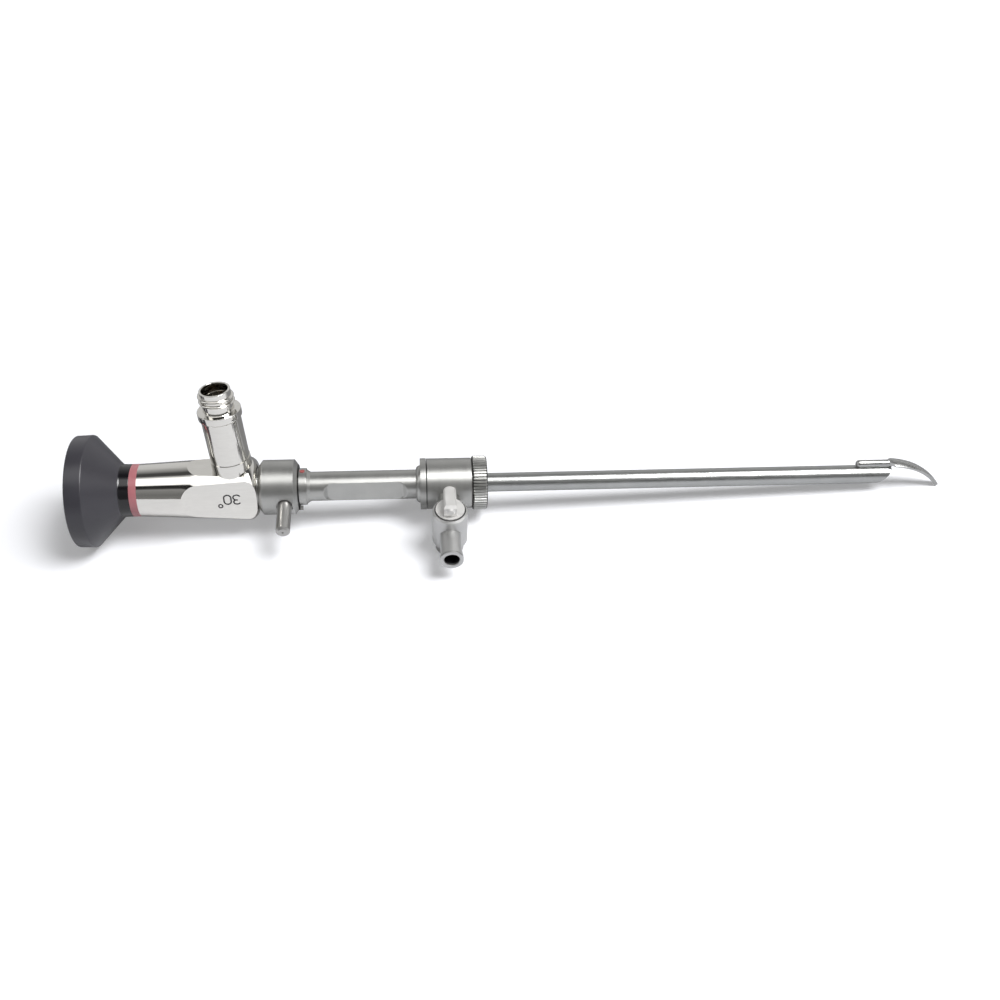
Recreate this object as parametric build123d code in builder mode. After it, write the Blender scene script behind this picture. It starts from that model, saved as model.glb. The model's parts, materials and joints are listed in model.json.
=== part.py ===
from build123d import *
from math import atan2, cos, degrees, pi, radians, sin, sqrt
import os

# Rigid endoscope: a 4 mm, 30 degree telescope locked in an operating sheath that has a
# rotatable stopcock, a knurled retaining nut and a curved spatula at its tip.
# The instrument's own coordinates: stations run along the optical axis from the eyepiece's
# rim (0) to the tip, +z points to the light post, and -y is the side of the stopcock.

# Eyepiece, a standard 32 mm eyecup
rim_diameter = 32.0
rim_band = 4.7
rim_round = 0.6
cup_cone = 7.8
cup_neck_diameter = 15.0
cup_neck = 2.8
cup_lip_width = 2.2
dish_depth = 6.0
dish_floor_diameter = 12.0
window_diameter = 9.2
window_thickness = 1.6
window_ledge = 0.7
spigot_diameter = 11.2
fit_gap = 0.02

# Colour ring between the eyepiece and the telescope's body
colour_ring_width = 2.1

# Telescope body
body_end_diameter = 18.2
body_cone = 30.0
nose_length = 2.9
nose_diameter = 12.6
body_bore_diameter = 9.2
nose_wall = 3.3
shaft_seat_ledge = 0.6
side_flat_distance = 6.4
side_flat_start = 34.0
top_flat_distance = 7.35
top_flat_start = 34.5
flat_runout_radius = 7.0
edge_break = 0.25

# Ocular
ocular_mount_wall = 0.9
ocular_mount_length = 16.0
ocular_lens_edge = 1.6
ocular_lens_crown = 0.9
ocular_lens_depth = 2.0
field_stop_thickness = 0.8
field_stop_diameter = 2.4

# Light post, leaning back towards the eyepiece
post_station = 44.2
post_lean = 4.8
post_base_diameter = 11.3
post_base_top = 10.9
post_base_skirt = 6.2
post_sleeve_diameter = 10.9
post_sleeve_top = 24.0
post_collar_diameter = 12.0
post_collar_width = 2.5
post_collar_bevel = 0.5
connector_diameter = 8.5
connector_length = 6.2
connector_bore_diameter = 7.3
connector_bore_depth = 7.6
thread_crest_diameter = 9.8
thread_pitch = 1.5
thread_top_inset = 1.7
thread_ridges = 2
thread_ridge_width = 0.9
thread_crest_width = 0.22
ferrule_diameter = 4.4
bundle_diameter = 3.0
ferrule_head_diameter = 6.0
ferrule_head_height = 0.6

# Telescope shaft and the optics inside it
shaft_diameter = 4.0
shaft_wall = 0.16
working_length = 183.5
view_angle = 30.0
optics_tube_diameter = 2.8
optics_tube_wall = 0.14
rod_count = 6
spacer_length = 5.0
spacer_wall = 0.25
objective_length = 6.0
distal_window_thickness = 0.4
fibre_collar_length = 6.0

# Lock ring and its lever pin
lock_gap = 0.35
lock_diameter = 15.8
lock_length = 11.1
lock_bevel_depth = 1.5
lock_bevel_width = 1.1
lock_lug_width = 1.6
lock_lug_height = 1.3
lock_lug_length = 1.0
lock_lug_angle = 54.4
lock_lug_gap = 0.15
journal_diameter = 10.0
running_gap = 0.05
end_gap = 0.12
retainer_diameter = 11.2
retainer_width = 1.0
lever_pin_diameter = 4.0
lever_pin_reach = 17.9
lever_pin_angle = 10.7
lever_pin_from_end = 3.7
lever_pin_seat = 1.9
lever_pin_chamfer = 0.6
lever_pin_centre_mark = 0.8
spot_face_diameter = 4.8
spot_face_distance = 7.2

# Sheath neck
index_ring_diameter = 10.6
index_ring_width = 2.1
index_dot_diameter = 1.5
index_dot_depth = 0.5
index_dot_proud = 0.05
neck_groove_width = 0.25
neck_groove_depth = 0.5
neck_cone = 0.9
grip_diameter = 8.45
grip_length = 30.2
grip_flat_distance = 3.05
grip_flat_front_inset = 4.9
grip_flat_back_inset = 3.8
grip_flat_runout_radius = 1.3
grip_fillet = 1.2
flange_diameter = 14.9
flange_width = 1.7
flange_round = 0.5
hub_journal_diameter = 11.0
nut_thread_diameter = 9.0
scope_clearance = 0.06
seal_section = 0.7
seal_from_end = 6.0

# Rotatable hub and its stopcock
barrel_diameter = 14.7
barrel_length = 13.0
barrel_chamfer = 0.2
hub_gap = 0.15
hub_running_gap = 0.03
hub_seal_section = 0.9
hub_seal_from_end = 2.4
hub_port_from_flange = 6.1
hub_angle = 10.7
port_groove_width = 3.0
port_groove_depth = 0.6
port_bore_diameter = 2.4
port_neck_diameter = 7.0
stopcock_distance = 16.5
stopcock_diameter = 9.9
stopcock_height = 12.4
stopcock_round = 0.5
stopcock_chamfer = 0.9
socket_depth = 1.0
plug_diameter = 6.4
plug_gap = 0.02
tap_disc_diameter = 8.1
tap_recess_diameter = 8.6
tap_recess_depth = 1.0
tap_disc_proud = 0.4
tap_nut_diameter = 8.0
tap_nut_height = 2.7
tap_washer_diameter = 7.6
tap_washer_thickness = 0.3
tap_lever_width = 3.5
tap_lever_height = 3.7
tap_lever_front = 2.9
tap_lever_back = 5.6
tap_lever_chamfer = 0.45
tap_lever_front_chamfer = 0.8
tap_boss_diameter = 2.6
tap_boss_length = 0.45
luer_tube_diameter = 6.1
luer_length = 9.15
luer_lip_diameter = 6.55
luer_lip_width = 1.5
luer_lip_groove_inset = 0.45
luer_lip_groove_width = 0.2
luer_lip_groove_depth = 0.2
luer_mouth_diameter = 4.32
luer_land = 1.15
luer_taper = 0.06
luer_mouth_chamfer = 0.2

# Knurled retaining nut
nut_diameter = 15.8
nut_length = 4.2
nut_chamfer = 0.4
nut_ridges = 54
nut_groove_share = 0.5
nut_groove_angle = 90
nut_recess_depth = 0.3

# Sheath tube and spatula
tube_diameter = 5.5
tube_wall = 0.35
sheath_overhang = 3.4
tube_bevel_length = 4.2
tube_bevel_lip = 0.45
side_port_diameter = 1.8
rod_diameter = 2.25
rod_length = 11.0
rod_braze_depth = 0.14
blade_inset = 0.06
blade_thickness = 0.9
blade_width = 4.5
blade_root_width = 1.8
blade_tip_width = 2.2
blade_crown_radius = 3.9
blade_overlap = 1.0
blade_shoulder_length = 1.7
blade_full_width_length = 3.6
blade_bend_radius = 21.6
blade_sweep = 52.3
settling_rounds = 12

# Stations along the optical axis
cone_start = rim_band
cup_neck_start = rim_band + cup_cone
ring_start = cup_neck_start + cup_neck
body_start = ring_start + colour_ring_width
nose_start = body_start + body_cone
nose_end = nose_start + nose_length
window_floor = dish_depth + window_thickness
spigot_start = window_floor + window_ledge
scope_tip = nose_end + working_length
tube_reach = scope_tip + sheath_overhang
rod_start = tube_reach - rod_length
blade_start = tube_reach - blade_overlap
blade_shoulder = blade_start + blade_shoulder_length
blade_taper_start = blade_shoulder + blade_full_width_length
lock_start = nose_end + lock_gap
lock_end = lock_start + lock_length
journal_start = nose_end + retainer_width
index_start = lock_end + end_gap
index_end = index_start + index_ring_width
groove_end = index_end + neck_groove_width
grip_start = groove_end + neck_cone
grip_end = grip_start + grip_length
flange_start = grip_end + grip_fillet
flange_end = flange_start + flange_width
barrel_start = flange_end + hub_gap
barrel_end = barrel_start + barrel_length
nut_start = barrel_end + hub_gap
nut_end = nut_start + nut_length
hub_station = barrel_start + hub_port_from_flange
luer_seat = stopcock_distance + stopcock_diameter / 2 - socket_depth
luer_reach = luer_seat + luer_length
luer_taper_length = luer_length - luer_land
body_bore_end = nose_end - nose_wall
shaft_seat = body_bore_end + shaft_seat_ledge

# Directions in the instrument's own coordinates
along = Vector(1, 0, 0)
aside = Vector(0, 1, 0)
upward = Vector(0, 0, 1)
luer_way = Vector(0, -cos(radians(hub_angle)), -sin(radians(hub_angle)))
tap_way = Vector(0, -sin(radians(hub_angle)), cos(radians(hub_angle)))
pin_way = Vector(0, -cos(radians(lever_pin_angle)), -sin(radians(lever_pin_angle)))
post_way = Vector(-sin(radians(post_lean)), 0, cos(radians(post_lean)))
post_side = Vector(cos(radians(post_lean)), 0, sin(radians(post_lean)))


def reach(centre, normal, radius, way):
    """The point of a circle that lies furthest in a direction."""
    across_way = way - normal * way.dot(normal)
    return centre + across_way.normalized() * radius


# The lying pose: the eyepiece's rim, the tap's nut and the spatula's end touch the table
rim_centre = along * rim_band
lip_centre = along * hub_station + luer_way * luer_reach
tap_foot = along * hub_station + luer_way * stopcock_distance
nut_foot = tap_foot - tap_way * (stopcock_height / 2 + tap_washer_thickness + tap_nut_height)
rod_height = (tube_diameter + rod_diameter) / 2 - rod_braze_depth
blade_top = rod_height + rod_diameter / 2 - blade_inset
bend_centre = Vector(blade_start, 0, blade_top - blade_bend_radius)
bend_end = Vector(sin(radians(blade_sweep)), 0, cos(radians(blade_sweep)))
blade_floor = blade_crown_radius - blade_thickness
corner_depth = blade_crown_radius - sqrt(blade_floor**2 - (blade_tip_width / 2) ** 2)
tip_touch = bend_centre + bend_end * (blade_bend_radius - corner_depth) + aside * (blade_tip_width / 2)
tip_front = bend_centre + bend_end * blade_bend_radius
table_up = upward
for _ in range(settling_rounds):
    rim_touch = reach(rim_centre, along, rim_diameter / 2, -table_up)
    nut_touch = reach(nut_foot, tap_way, tap_nut_diameter / 2 - stopcock_round, -table_up)
    table_up = (nut_touch - rim_touch).cross(tip_touch - rim_touch).normalized()
table_x = (along - table_up * along.dot(table_up)).normalized()
table_y = table_up.cross(table_x)
rear_round = reach(along * rim_round, along, rim_diameter / 2 - rim_round, -table_x)
rear_most = rear_round.dot(table_x) - rim_round
near_most = reach(lip_centre, luer_way, luer_lip_diameter / 2, -table_y).dot(table_y)
far_most = rim_centre.dot(table_y) + rim_diameter / 2


def lying(way):
    """A direction of the instrument, seen from the table."""
    return Vector(way.dot(table_x), way.dot(table_y), way.dot(table_up))


rest_origin = Vector(
    -(rear_most + tip_front.dot(table_x)) / 2,
    -(near_most + far_most) / 2,
    -tip_touch.dot(table_up),
)
instrument = Plane(origin=rest_origin, x_dir=lying(along), z_dir=lying(upward))


def placed(origin, x_dir, z_dir):
    """A plane given in the instrument's own coordinates."""
    own = Plane(origin=origin, x_dir=x_dir, z_dir=z_dir)
    return Plane(instrument.location * own.location)


def across(station):
    """The cross-section plane at a station, facing the tip."""
    return placed(along * station, aside, along)


def beside(distance):
    """A plane beside the optical axis that faces the stopcock's side."""
    return placed(aside * distance, along, -aside)


def post_section(distance):
    """A plane across the light post, at a distance from the optical axis."""
    return placed(along * post_station + post_way * distance, aside, post_way)


def pin_section(distance):
    """A plane across the lever pin, at a distance from the optical axis."""
    return placed(along * pin_station + pin_way * distance, along, pin_way)


def luer_section(distance):
    """A plane across the stopcock's port, at a distance from the optical axis."""
    return placed(along * hub_station + luer_way * distance, along, luer_way)


def tap_section(height):
    """A plane across the tap, at a height above the middle of the stopcock."""
    return placed(tap_foot + tap_way * height, along, tap_way)


lengthwise = beside(0)
optical_axis = Axis(lengthwise.origin, lengthwise.x_dir)
post_profile = placed(along * post_station, post_side, -aside)
post_axis = Axis(post_profile.origin, post_profile.y_dir)
luer_profile = placed(along * hub_station, luer_way, tap_way)
luer_axis = Axis(luer_profile.origin, luer_profile.x_dir)
tap_profile = placed(tap_foot, tap_way, -luer_way)
tap_axis = Axis(tap_profile.origin, tap_profile.x_dir)
pin_station = lock_end - lever_pin_from_end
pin_profile = placed(along * pin_station, pin_way, pin_way.cross(along))
pin_axis = Axis(pin_profile.origin, pin_profile.x_dir)
view_way = Vector(cos(radians(view_angle)), 0, -sin(radians(view_angle)))
view_face = placed(along * scope_tip, aside, view_way)


def spin(profile, outline, axis, mode=Mode.ADD):
    """Turn a closed outline of (place, radius) points about an axis."""
    with BuildSketch(profile) as section:
        with BuildLine():
            Polyline(*outline, close=True)
        make_face()
    revolve(section.sketch, axis=axis, mode=mode)


# Eyepiece cup
with BuildPart() as eyepiece_cup:
    with BuildSketch(lengthwise):
        with BuildLine():
            Polyline(
                (0, rim_diameter / 2 - cup_lip_width),
                (0, rim_diameter / 2),
                (cone_start, rim_diameter / 2),
                (cup_neck_start, cup_neck_diameter / 2),
                (ring_start, cup_neck_diameter / 2),
                (ring_start, spigot_diameter / 2 + fit_gap),
                (spigot_start, spigot_diameter / 2 + fit_gap),
                (spigot_start, window_diameter / 2 - window_ledge),
                (window_floor, window_diameter / 2 - window_ledge),
                (window_floor, window_diameter / 2 + fit_gap),
                (dish_depth, window_diameter / 2 + fit_gap),
                (dish_depth, dish_floor_diameter / 2),
                close=True,
            )
        make_face()
        fillet(vertices().group_by(Axis(lengthwise.origin, lengthwise.y_dir))[-1], rim_round)
    revolve(axis=optical_axis)
eyepiece_cup.part.label = "eyepiece_cup"

# Window in the cup's floor
with BuildPart() as eyepiece_window:
    with BuildSketch(across(dish_depth)):
        Circle(window_diameter / 2)
    extrude(amount=window_thickness)
eyepiece_window.part.label = "eyepiece_window"

# Colour ring
with BuildPart() as colour_ring:
    with BuildSketch(across(ring_start)):
        Circle(cup_neck_diameter / 2)
        Circle(spigot_diameter / 2 + fit_gap, mode=Mode.SUBTRACT)
    extrude(amount=colour_ring_width)
colour_ring.part.label = "colour_ring"

# Telescope body: a cone that widens to a rounded nose, milled flat on three sides
with BuildPart() as telescope_body:
    with BuildSketch(lengthwise):
        with BuildLine():
            Polyline(
                (nose_end, nose_diameter / 2),
                (nose_end, shaft_diameter / 2 + fit_gap),
                (shaft_seat, shaft_diameter / 2 + fit_gap),
                (shaft_seat, shaft_diameter / 2 - shaft_wall),
                (body_bore_end, shaft_diameter / 2 - shaft_wall),
                (body_bore_end, body_bore_diameter / 2),
                (spigot_start, body_bore_diameter / 2),
                (spigot_start, spigot_diameter / 2),
                (body_start, spigot_diameter / 2),
                (body_start, cup_neck_diameter / 2),
                (nose_start, body_end_diameter / 2),
            )
            ThreePointArc(
                (nose_start, body_end_diameter / 2),
                (
                    nose_start + nose_length * sin(radians(45)),
                    nose_diameter / 2 + (body_end_diameter - nose_diameter) / 2 * sin(radians(45)),
                ),
                (nose_end, nose_diameter / 2),
            )
        make_face()
    revolve(axis=optical_axis)
    for side in (1, -1):
        with BuildSketch(placed(Vector(0, 0, 0), along, upward)):
            with BuildLine():
                milled = Polyline(
                    (nose_end, side * side_flat_distance),
                    (side_flat_start, side * side_flat_distance),
                )
                RadiusArc(
                    milled @ 1,
                    (side_flat_start - flat_runout_radius, side * (side_flat_distance + flat_runout_radius)),
                    side * flat_runout_radius,
                )
                Polyline(
                    (side_flat_start - flat_runout_radius, side * (side_flat_distance + flat_runout_radius)),
                    (nose_end, side * (side_flat_distance + flat_runout_radius)),
                    milled @ 0,
                )
            make_face()
        extrude(amount=body_end_diameter, both=True, mode=Mode.SUBTRACT)
    with BuildSketch(lengthwise):
        with BuildLine():
            milled = Polyline((nose_start, top_flat_distance), (top_flat_start, top_flat_distance))
            RadiusArc(
                milled @ 1,
                (top_flat_start - flat_runout_radius, top_flat_distance + flat_runout_radius),
                flat_runout_radius,
            )
            Polyline(
                (top_flat_start - flat_runout_radius, top_flat_distance + flat_runout_radius),
                (nose_start, top_flat_distance + flat_runout_radius),
                milled @ 0,
            )
        make_face()
    extrude(amount=body_end_diameter, both=True, mode=Mode.SUBTRACT)
    with BuildSketch(post_section(0)):
        Circle(ferrule_diameter / 2 + fit_gap)
    extrude(amount=post_base_top, mode=Mode.SUBTRACT)
telescope_body.part.label = "telescope_body"

# Ocular: a tube in the body's bore that holds the lens and the rear of the optics tube
ocular_start = window_floor + window_ledge
ocular_end = ocular_start + ocular_mount_length
ocular_outer = body_bore_diameter / 2 - fit_gap
ocular_inner = ocular_outer - ocular_mount_wall
lens_front = ocular_start + ocular_lens_depth
lens_back = lens_front + ocular_lens_edge
with BuildPart() as ocular_mount:
    spin(
        lengthwise,
        [
            (ocular_start, ocular_inner),
            (ocular_start, ocular_outer),
            (ocular_end, ocular_outer),
            (ocular_end, optics_tube_diameter / 2 + fit_gap),
            (ocular_end - ocular_mount_wall, optics_tube_diameter / 2 + fit_gap),
            (ocular_end - ocular_mount_wall, field_stop_diameter / 2),
            (ocular_end - ocular_mount_wall - field_stop_thickness, field_stop_diameter / 2),
            (ocular_end - ocular_mount_wall - field_stop_thickness, ocular_inner),
        ],
        optical_axis,
    )
ocular_mount.part.label = "ocular_mount"

# Ocular lens, convex on both sides
lens_edge = ocular_inner - fit_gap
lens_radius = (lens_edge**2 + ocular_lens_crown**2) / (2 * ocular_lens_crown)
with BuildPart() as ocular_lens:
    with BuildSketch(lengthwise):
        with BuildLine():
            Line((lens_front - ocular_lens_crown, 0), (lens_back + ocular_lens_crown, 0))
            CenterArc(
                (lens_back + ocular_lens_crown - lens_radius, 0),
                lens_radius,
                0,
                degrees(atan2(lens_edge, lens_radius - ocular_lens_crown)),
            )
            Line((lens_back, lens_edge), (lens_front, lens_edge))
            CenterArc(
                (lens_front - ocular_lens_crown + lens_radius, 0),
                lens_radius,
                180,
                -degrees(atan2(lens_edge, lens_radius - ocular_lens_crown)),
            )
        make_face()
    revolve(axis=optical_axis)
ocular_lens.part.label = "ocular_lens"

# Light post base, a soldered ring that follows the body under it
with BuildPart() as light_post_base:
    with BuildSketch(post_section(post_base_skirt)):
        Circle(post_base_diameter / 2)
    extrude(amount=post_base_top - post_base_skirt)
    with BuildSketch(post_section(0)):
        Circle(ferrule_diameter / 2 + fit_gap)
    extrude(amount=post_base_top, mode=Mode.SUBTRACT)
    add(telescope_body.part, mode=Mode.SUBTRACT)
light_post_base.part.label = "light_post_base"

# Light post sleeve
with BuildPart() as light_post_sleeve:
    with BuildSketch(post_section(post_base_top)):
        Circle(post_sleeve_diameter / 2)
        Circle(ferrule_diameter / 2 + fit_gap, mode=Mode.SUBTRACT)
    extrude(amount=post_sleeve_top - post_base_top)
light_post_sleeve.part.label = "light_post_sleeve"

# Light guide connector: collar, neck and threaded rim around a deep bore
collar_top = post_sleeve_top + post_collar_width
connector_top = collar_top + connector_length
connector_floor = connector_top - connector_bore_depth
ferrule_head_floor = connector_floor - ferrule_head_height
with BuildPart() as light_guide_connector:
    spin(
        post_profile,
        [
            (ferrule_diameter / 2 + fit_gap, post_sleeve_top),
            (post_collar_diameter / 2 - post_collar_bevel, post_sleeve_top),
            (post_collar_diameter / 2, post_sleeve_top + post_collar_bevel),
            (post_collar_diameter / 2, collar_top),
            (connector_diameter / 2, collar_top),
            (connector_diameter / 2, connector_top),
            (connector_bore_diameter / 2, connector_top),
            (connector_bore_diameter / 2, connector_floor),
            (ferrule_head_diameter / 2 + fit_gap, connector_floor),
            (ferrule_head_diameter / 2 + fit_gap, ferrule_head_floor),
            (ferrule_diameter / 2 + fit_gap, ferrule_head_floor),
        ],
        post_axis,
    )
    for ridge in range(thread_ridges):
        crest = connector_top - thread_top_inset - ridge * thread_pitch
        spin(
            post_profile,
            [
                (connector_diameter / 2 - edge_break, crest + thread_ridge_width / 2),
                (thread_crest_diameter / 2, crest + thread_crest_width / 2),
                (thread_crest_diameter / 2, crest - thread_crest_width / 2),
                (connector_diameter / 2 - edge_break, crest - thread_ridge_width / 2),
            ],
            post_axis,
        )
light_guide_connector.part.label = "light_guide_connector"

# Ferrule that holds the upper end of the light fibres, its head let into the bore's floor
with BuildPart() as light_ferrule:
    spin(
        post_profile,
        [
            (bundle_diameter / 2 + fit_gap, top_flat_distance),
            (ferrule_diameter / 2, top_flat_distance),
            (ferrule_diameter / 2, ferrule_head_floor),
            (ferrule_head_diameter / 2, ferrule_head_floor),
            (ferrule_head_diameter / 2, connector_floor),
            (bundle_diameter / 2 + fit_gap, connector_floor),
        ],
        post_axis,
    )
light_ferrule.part.label = "light_ferrule"

# Telescope shaft, a thin tube cut at the view angle
with BuildPart() as telescope_shaft:
    with BuildSketch(across(shaft_seat)):
        Circle(shaft_diameter / 2)
        Circle(shaft_diameter / 2 - shaft_wall, mode=Mode.SUBTRACT)
    extrude(amount=scope_tip + shaft_diameter - shaft_seat)
    split(bisect_by=view_face, keep=Keep.BOTTOM)
telescope_shaft.part.label = "telescope_shaft"

# Light fibres: a potted collar in the body, then a layer round the optics tube
fibre_collar_start = body_bore_end - fibre_collar_length
fibre_collar_radius = body_bore_diameter / 2 - fit_gap
fibre_outer = shaft_diameter / 2 - shaft_wall - fit_gap
fibre_inner = optics_tube_diameter / 2 + fit_gap
with BuildPart() as light_fibres:
    spin(
        lengthwise,
        [
            (fibre_collar_start, fibre_inner),
            (fibre_collar_start, fibre_collar_radius),
            (body_bore_end, fibre_collar_radius),
            (body_bore_end, fibre_outer),
            (scope_tip + shaft_diameter, fibre_outer),
            (scope_tip + shaft_diameter, fibre_inner),
        ],
        optical_axis,
    )
    split(bisect_by=view_face, keep=Keep.BOTTOM)
light_fibres.part.label = "light_fibres"

# Fibre bundle, from the ferrule down to the potted collar
with BuildPart() as fibre_bundle:
    with BuildSketch(post_section(optics_tube_diameter)):
        Circle(bundle_diameter / 2)
    extrude(amount=connector_floor - optics_tube_diameter)
    add(light_fibres.part, mode=Mode.SUBTRACT)
fibre_bundle.part.label = "fibre_bundle"

# Optics tube, from the ocular to the tip
optics_bore = optics_tube_diameter / 2 - optics_tube_wall
with BuildPart() as optics_tube:
    with BuildSketch(across(ocular_end - ocular_mount_wall)):
        Circle(optics_tube_diameter / 2)
        Circle(optics_bore, mode=Mode.SUBTRACT)
    extrude(amount=scope_tip + shaft_diameter - ocular_end)
    split(bisect_by=view_face, keep=Keep.BOTTOM)
optics_tube.part.label = "optics_tube"

# Rod lenses and the spacer tubes between them
glass_radius = optics_bore - fit_gap
rods_start = ocular_end
objective_start = scope_tip - objective_length
rod_pitch = (objective_start - rods_start) / rod_count
with BuildPart() as rod_lenses:
    for index in range(rod_count):
        with BuildSketch(across(rods_start + index * rod_pitch)):
            Circle(glass_radius)
        extrude(amount=rod_pitch - spacer_length)
rod_lenses.part.label = "rod_lenses"
with BuildPart() as lens_spacers:
    for index in range(rod_count):
        with BuildSketch(across(rods_start + (index + 1) * rod_pitch - spacer_length)):
            Circle(glass_radius)
            Circle(glass_radius - spacer_wall, mode=Mode.SUBTRACT)
        extrude(amount=spacer_length)
lens_spacers.part.label = "lens_spacers"

# Objective with its view prism, closed by the slanted window at the tip
window_back = placed(along * scope_tip - view_way * distal_window_thickness, aside, view_way)
with BuildPart() as objective_prism:
    with BuildSketch(across(objective_start)):
        Circle(glass_radius)
    extrude(amount=objective_length + shaft_diameter)
    split(bisect_by=window_back, keep=Keep.BOTTOM)
objective_prism.part.label = "objective_prism"
with BuildPart() as distal_window:
    with BuildSketch(across(scope_tip - shaft_diameter)):
        Circle(glass_radius)
    extrude(amount=2 * shaft_diameter)
    split(bisect_by=window_back, keep=Keep.TOP)
    split(bisect_by=view_face, keep=Keep.BOTTOM)
distal_window.part.label = "distal_window"

# Retaining ring that keeps the lock collar on its journal
with BuildPart() as lock_retainer:
    with BuildSketch(across(nose_end)):
        Circle(retainer_diameter / 2)
        Circle(shaft_diameter / 2 + scope_clearance, mode=Mode.SUBTRACT)
    extrude(amount=retainer_width)
lock_retainer.part.label = "lock_retainer"

# Lock collar, bevelled at both ends, with a stop lug, a spot face and a hole for the lever pin
collar_bore = journal_diameter / 2 + running_gap
collar_step = journal_start + end_gap
lug_way = Vector(0, -cos(radians(lock_lug_angle)), -sin(radians(lock_lug_angle)))
with BuildPart() as lock_collar:
    spin(
        lengthwise,
        [
            (lock_start, retainer_diameter / 2 + running_gap),
            (lock_start, lock_diameter / 2 - lock_bevel_depth),
            (lock_start + lock_bevel_width, lock_diameter / 2),
            (lock_end - lock_bevel_width, lock_diameter / 2),
            (lock_end, lock_diameter / 2 - lock_bevel_depth),
            (lock_end, collar_bore),
            (collar_step, collar_bore),
            (collar_step, retainer_diameter / 2 + running_gap),
        ],
        optical_axis,
    )
    with BuildSketch(placed(along * (lock_end - lock_bevel_width), lug_way, along)):
        with Locations((index_ring_diameter / 2 + lock_lug_gap + lock_lug_height / 2, 0)):
            Rectangle(lock_lug_height, lock_lug_width)
    extrude(amount=lock_bevel_width + lock_lug_length)
    with BuildSketch(pin_section(spot_face_distance)):
        Circle(spot_face_diameter / 2)
    extrude(amount=lock_diameter, mode=Mode.SUBTRACT)
    with BuildSketch(pin_section(spot_face_distance - lever_pin_seat)):
        Circle(lever_pin_diameter / 2 + fit_gap)
    extrude(amount=lock_diameter, mode=Mode.SUBTRACT)
lock_collar.part.label = "lock_collar"

# Lever pin
with BuildPart() as lever_pin:
    spin(
        pin_profile,
        [
            (spot_face_distance - lever_pin_seat, 0),
            (spot_face_distance - lever_pin_seat, lever_pin_diameter / 2),
            (lever_pin_reach - lever_pin_chamfer, lever_pin_diameter / 2),
            (lever_pin_reach, lever_pin_diameter / 2 - lever_pin_chamfer),
            (lever_pin_reach, lever_pin_centre_mark / 2),
            (lever_pin_reach - lever_pin_centre_mark / 2, 0),
        ],
        pin_axis,
    )
lever_pin.part.label = "lever_pin"

# Sheath neck: journal, index ring, grip tube, flange, hub journal and nut thread in one piece
scope_bore = shaft_diameter / 2 + scope_clearance
neck_thread_end = nut_end - nut_recess_depth
tube_seat = hub_station - port_groove_width
seal_station = journal_start + seal_from_end
dot_station = index_start + index_ring_width / 2
dot_floor = placed(
    along * dot_station + upward * (index_ring_diameter / 2 - index_dot_depth), along, upward
)
with BuildPart() as sheath_neck:
    with BuildSketch(lengthwise):
        with BuildLine():
            Polyline(
                (grip_end, grip_diameter / 2),
                (grip_start, grip_diameter / 2),
                (groove_end, index_ring_diameter / 2 - neck_groove_depth),
                (index_end, index_ring_diameter / 2 - neck_groove_depth),
                (index_end, index_ring_diameter / 2),
                (index_start, index_ring_diameter / 2),
                (index_start, journal_diameter / 2),
                (journal_start, journal_diameter / 2),
                (journal_start, scope_bore),
                (seal_station, scope_bore),
                (seal_station, scope_bore + seal_section),
                (seal_station + seal_section, scope_bore + seal_section),
                (seal_station + seal_section, scope_bore),
                (tube_seat, scope_bore),
                (tube_seat, tube_diameter / 2 + fit_gap),
                (neck_thread_end, tube_diameter / 2 + fit_gap),
                (neck_thread_end, nut_thread_diameter / 2),
                (nut_start, nut_thread_diameter / 2),
                (nut_start, hub_journal_diameter / 2),
                (flange_end, hub_journal_diameter / 2),
                (flange_end, flange_diameter / 2),
                (flange_start, flange_diameter / 2),
                (flange_start, grip_diameter / 2 + grip_fillet),
            )
            RadiusArc(
                (flange_start, grip_diameter / 2 + grip_fillet),
                (grip_end, grip_diameter / 2),
                -grip_fillet,
            )
        make_face()
        fillet(vertices().group_by(Axis(lengthwise.origin, lengthwise.y_dir))[-1], flange_round)
    revolve(axis=optical_axis)
    for side in (1, -1):
        with BuildSketch(placed(Vector(0, 0, 0), along, upward)):
            with BuildLine():
                floor_line = Line(
                    (grip_start + grip_flat_front_inset, side * grip_flat_distance),
                    (grip_end - grip_flat_back_inset, side * grip_flat_distance),
                )
                runout = RadiusArc(
                    floor_line @ 1,
                    floor_line @ 1 + Vector(grip_flat_runout_radius, side * grip_flat_runout_radius),
                    -side * grip_flat_runout_radius,
                )
                run_in = RadiusArc(
                    floor_line @ 0,
                    floor_line @ 0 + Vector(-grip_flat_runout_radius, side * grip_flat_runout_radius),
                    side * grip_flat_runout_radius,
                )
                Line(runout @ 1, run_in @ 1)
            make_face()
        extrude(amount=grip_diameter, both=True, mode=Mode.SUBTRACT)
    with BuildSketch(dot_floor):
        Circle(index_dot_diameter / 2)
    extrude(amount=2 * index_dot_depth, mode=Mode.SUBTRACT)
    for way in (luer_way, -luer_way):
        with BuildSketch(placed(along * hub_station, along, way)):
            Circle(side_port_diameter / 2)
        extrude(amount=hub_journal_diameter, mode=Mode.SUBTRACT)
sheath_neck.part.label = "sheath_neck"

# Enamelled index dot
with BuildPart() as index_dot:
    with BuildSketch(dot_floor):
        Circle(index_dot_diameter / 2 - fit_gap)
    extrude(amount=index_dot_depth + index_dot_proud)
index_dot.part.label = "index_dot"

# Seal round the telescope's shaft
with BuildPart() as scope_seal:
    with BuildSketch(lengthwise):
        with Locations((seal_station + seal_section / 2, scope_bore + seal_section / 2)):
            Circle(seal_section / 2)
    revolve(axis=optical_axis)
scope_seal.part.label = "scope_seal"

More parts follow.
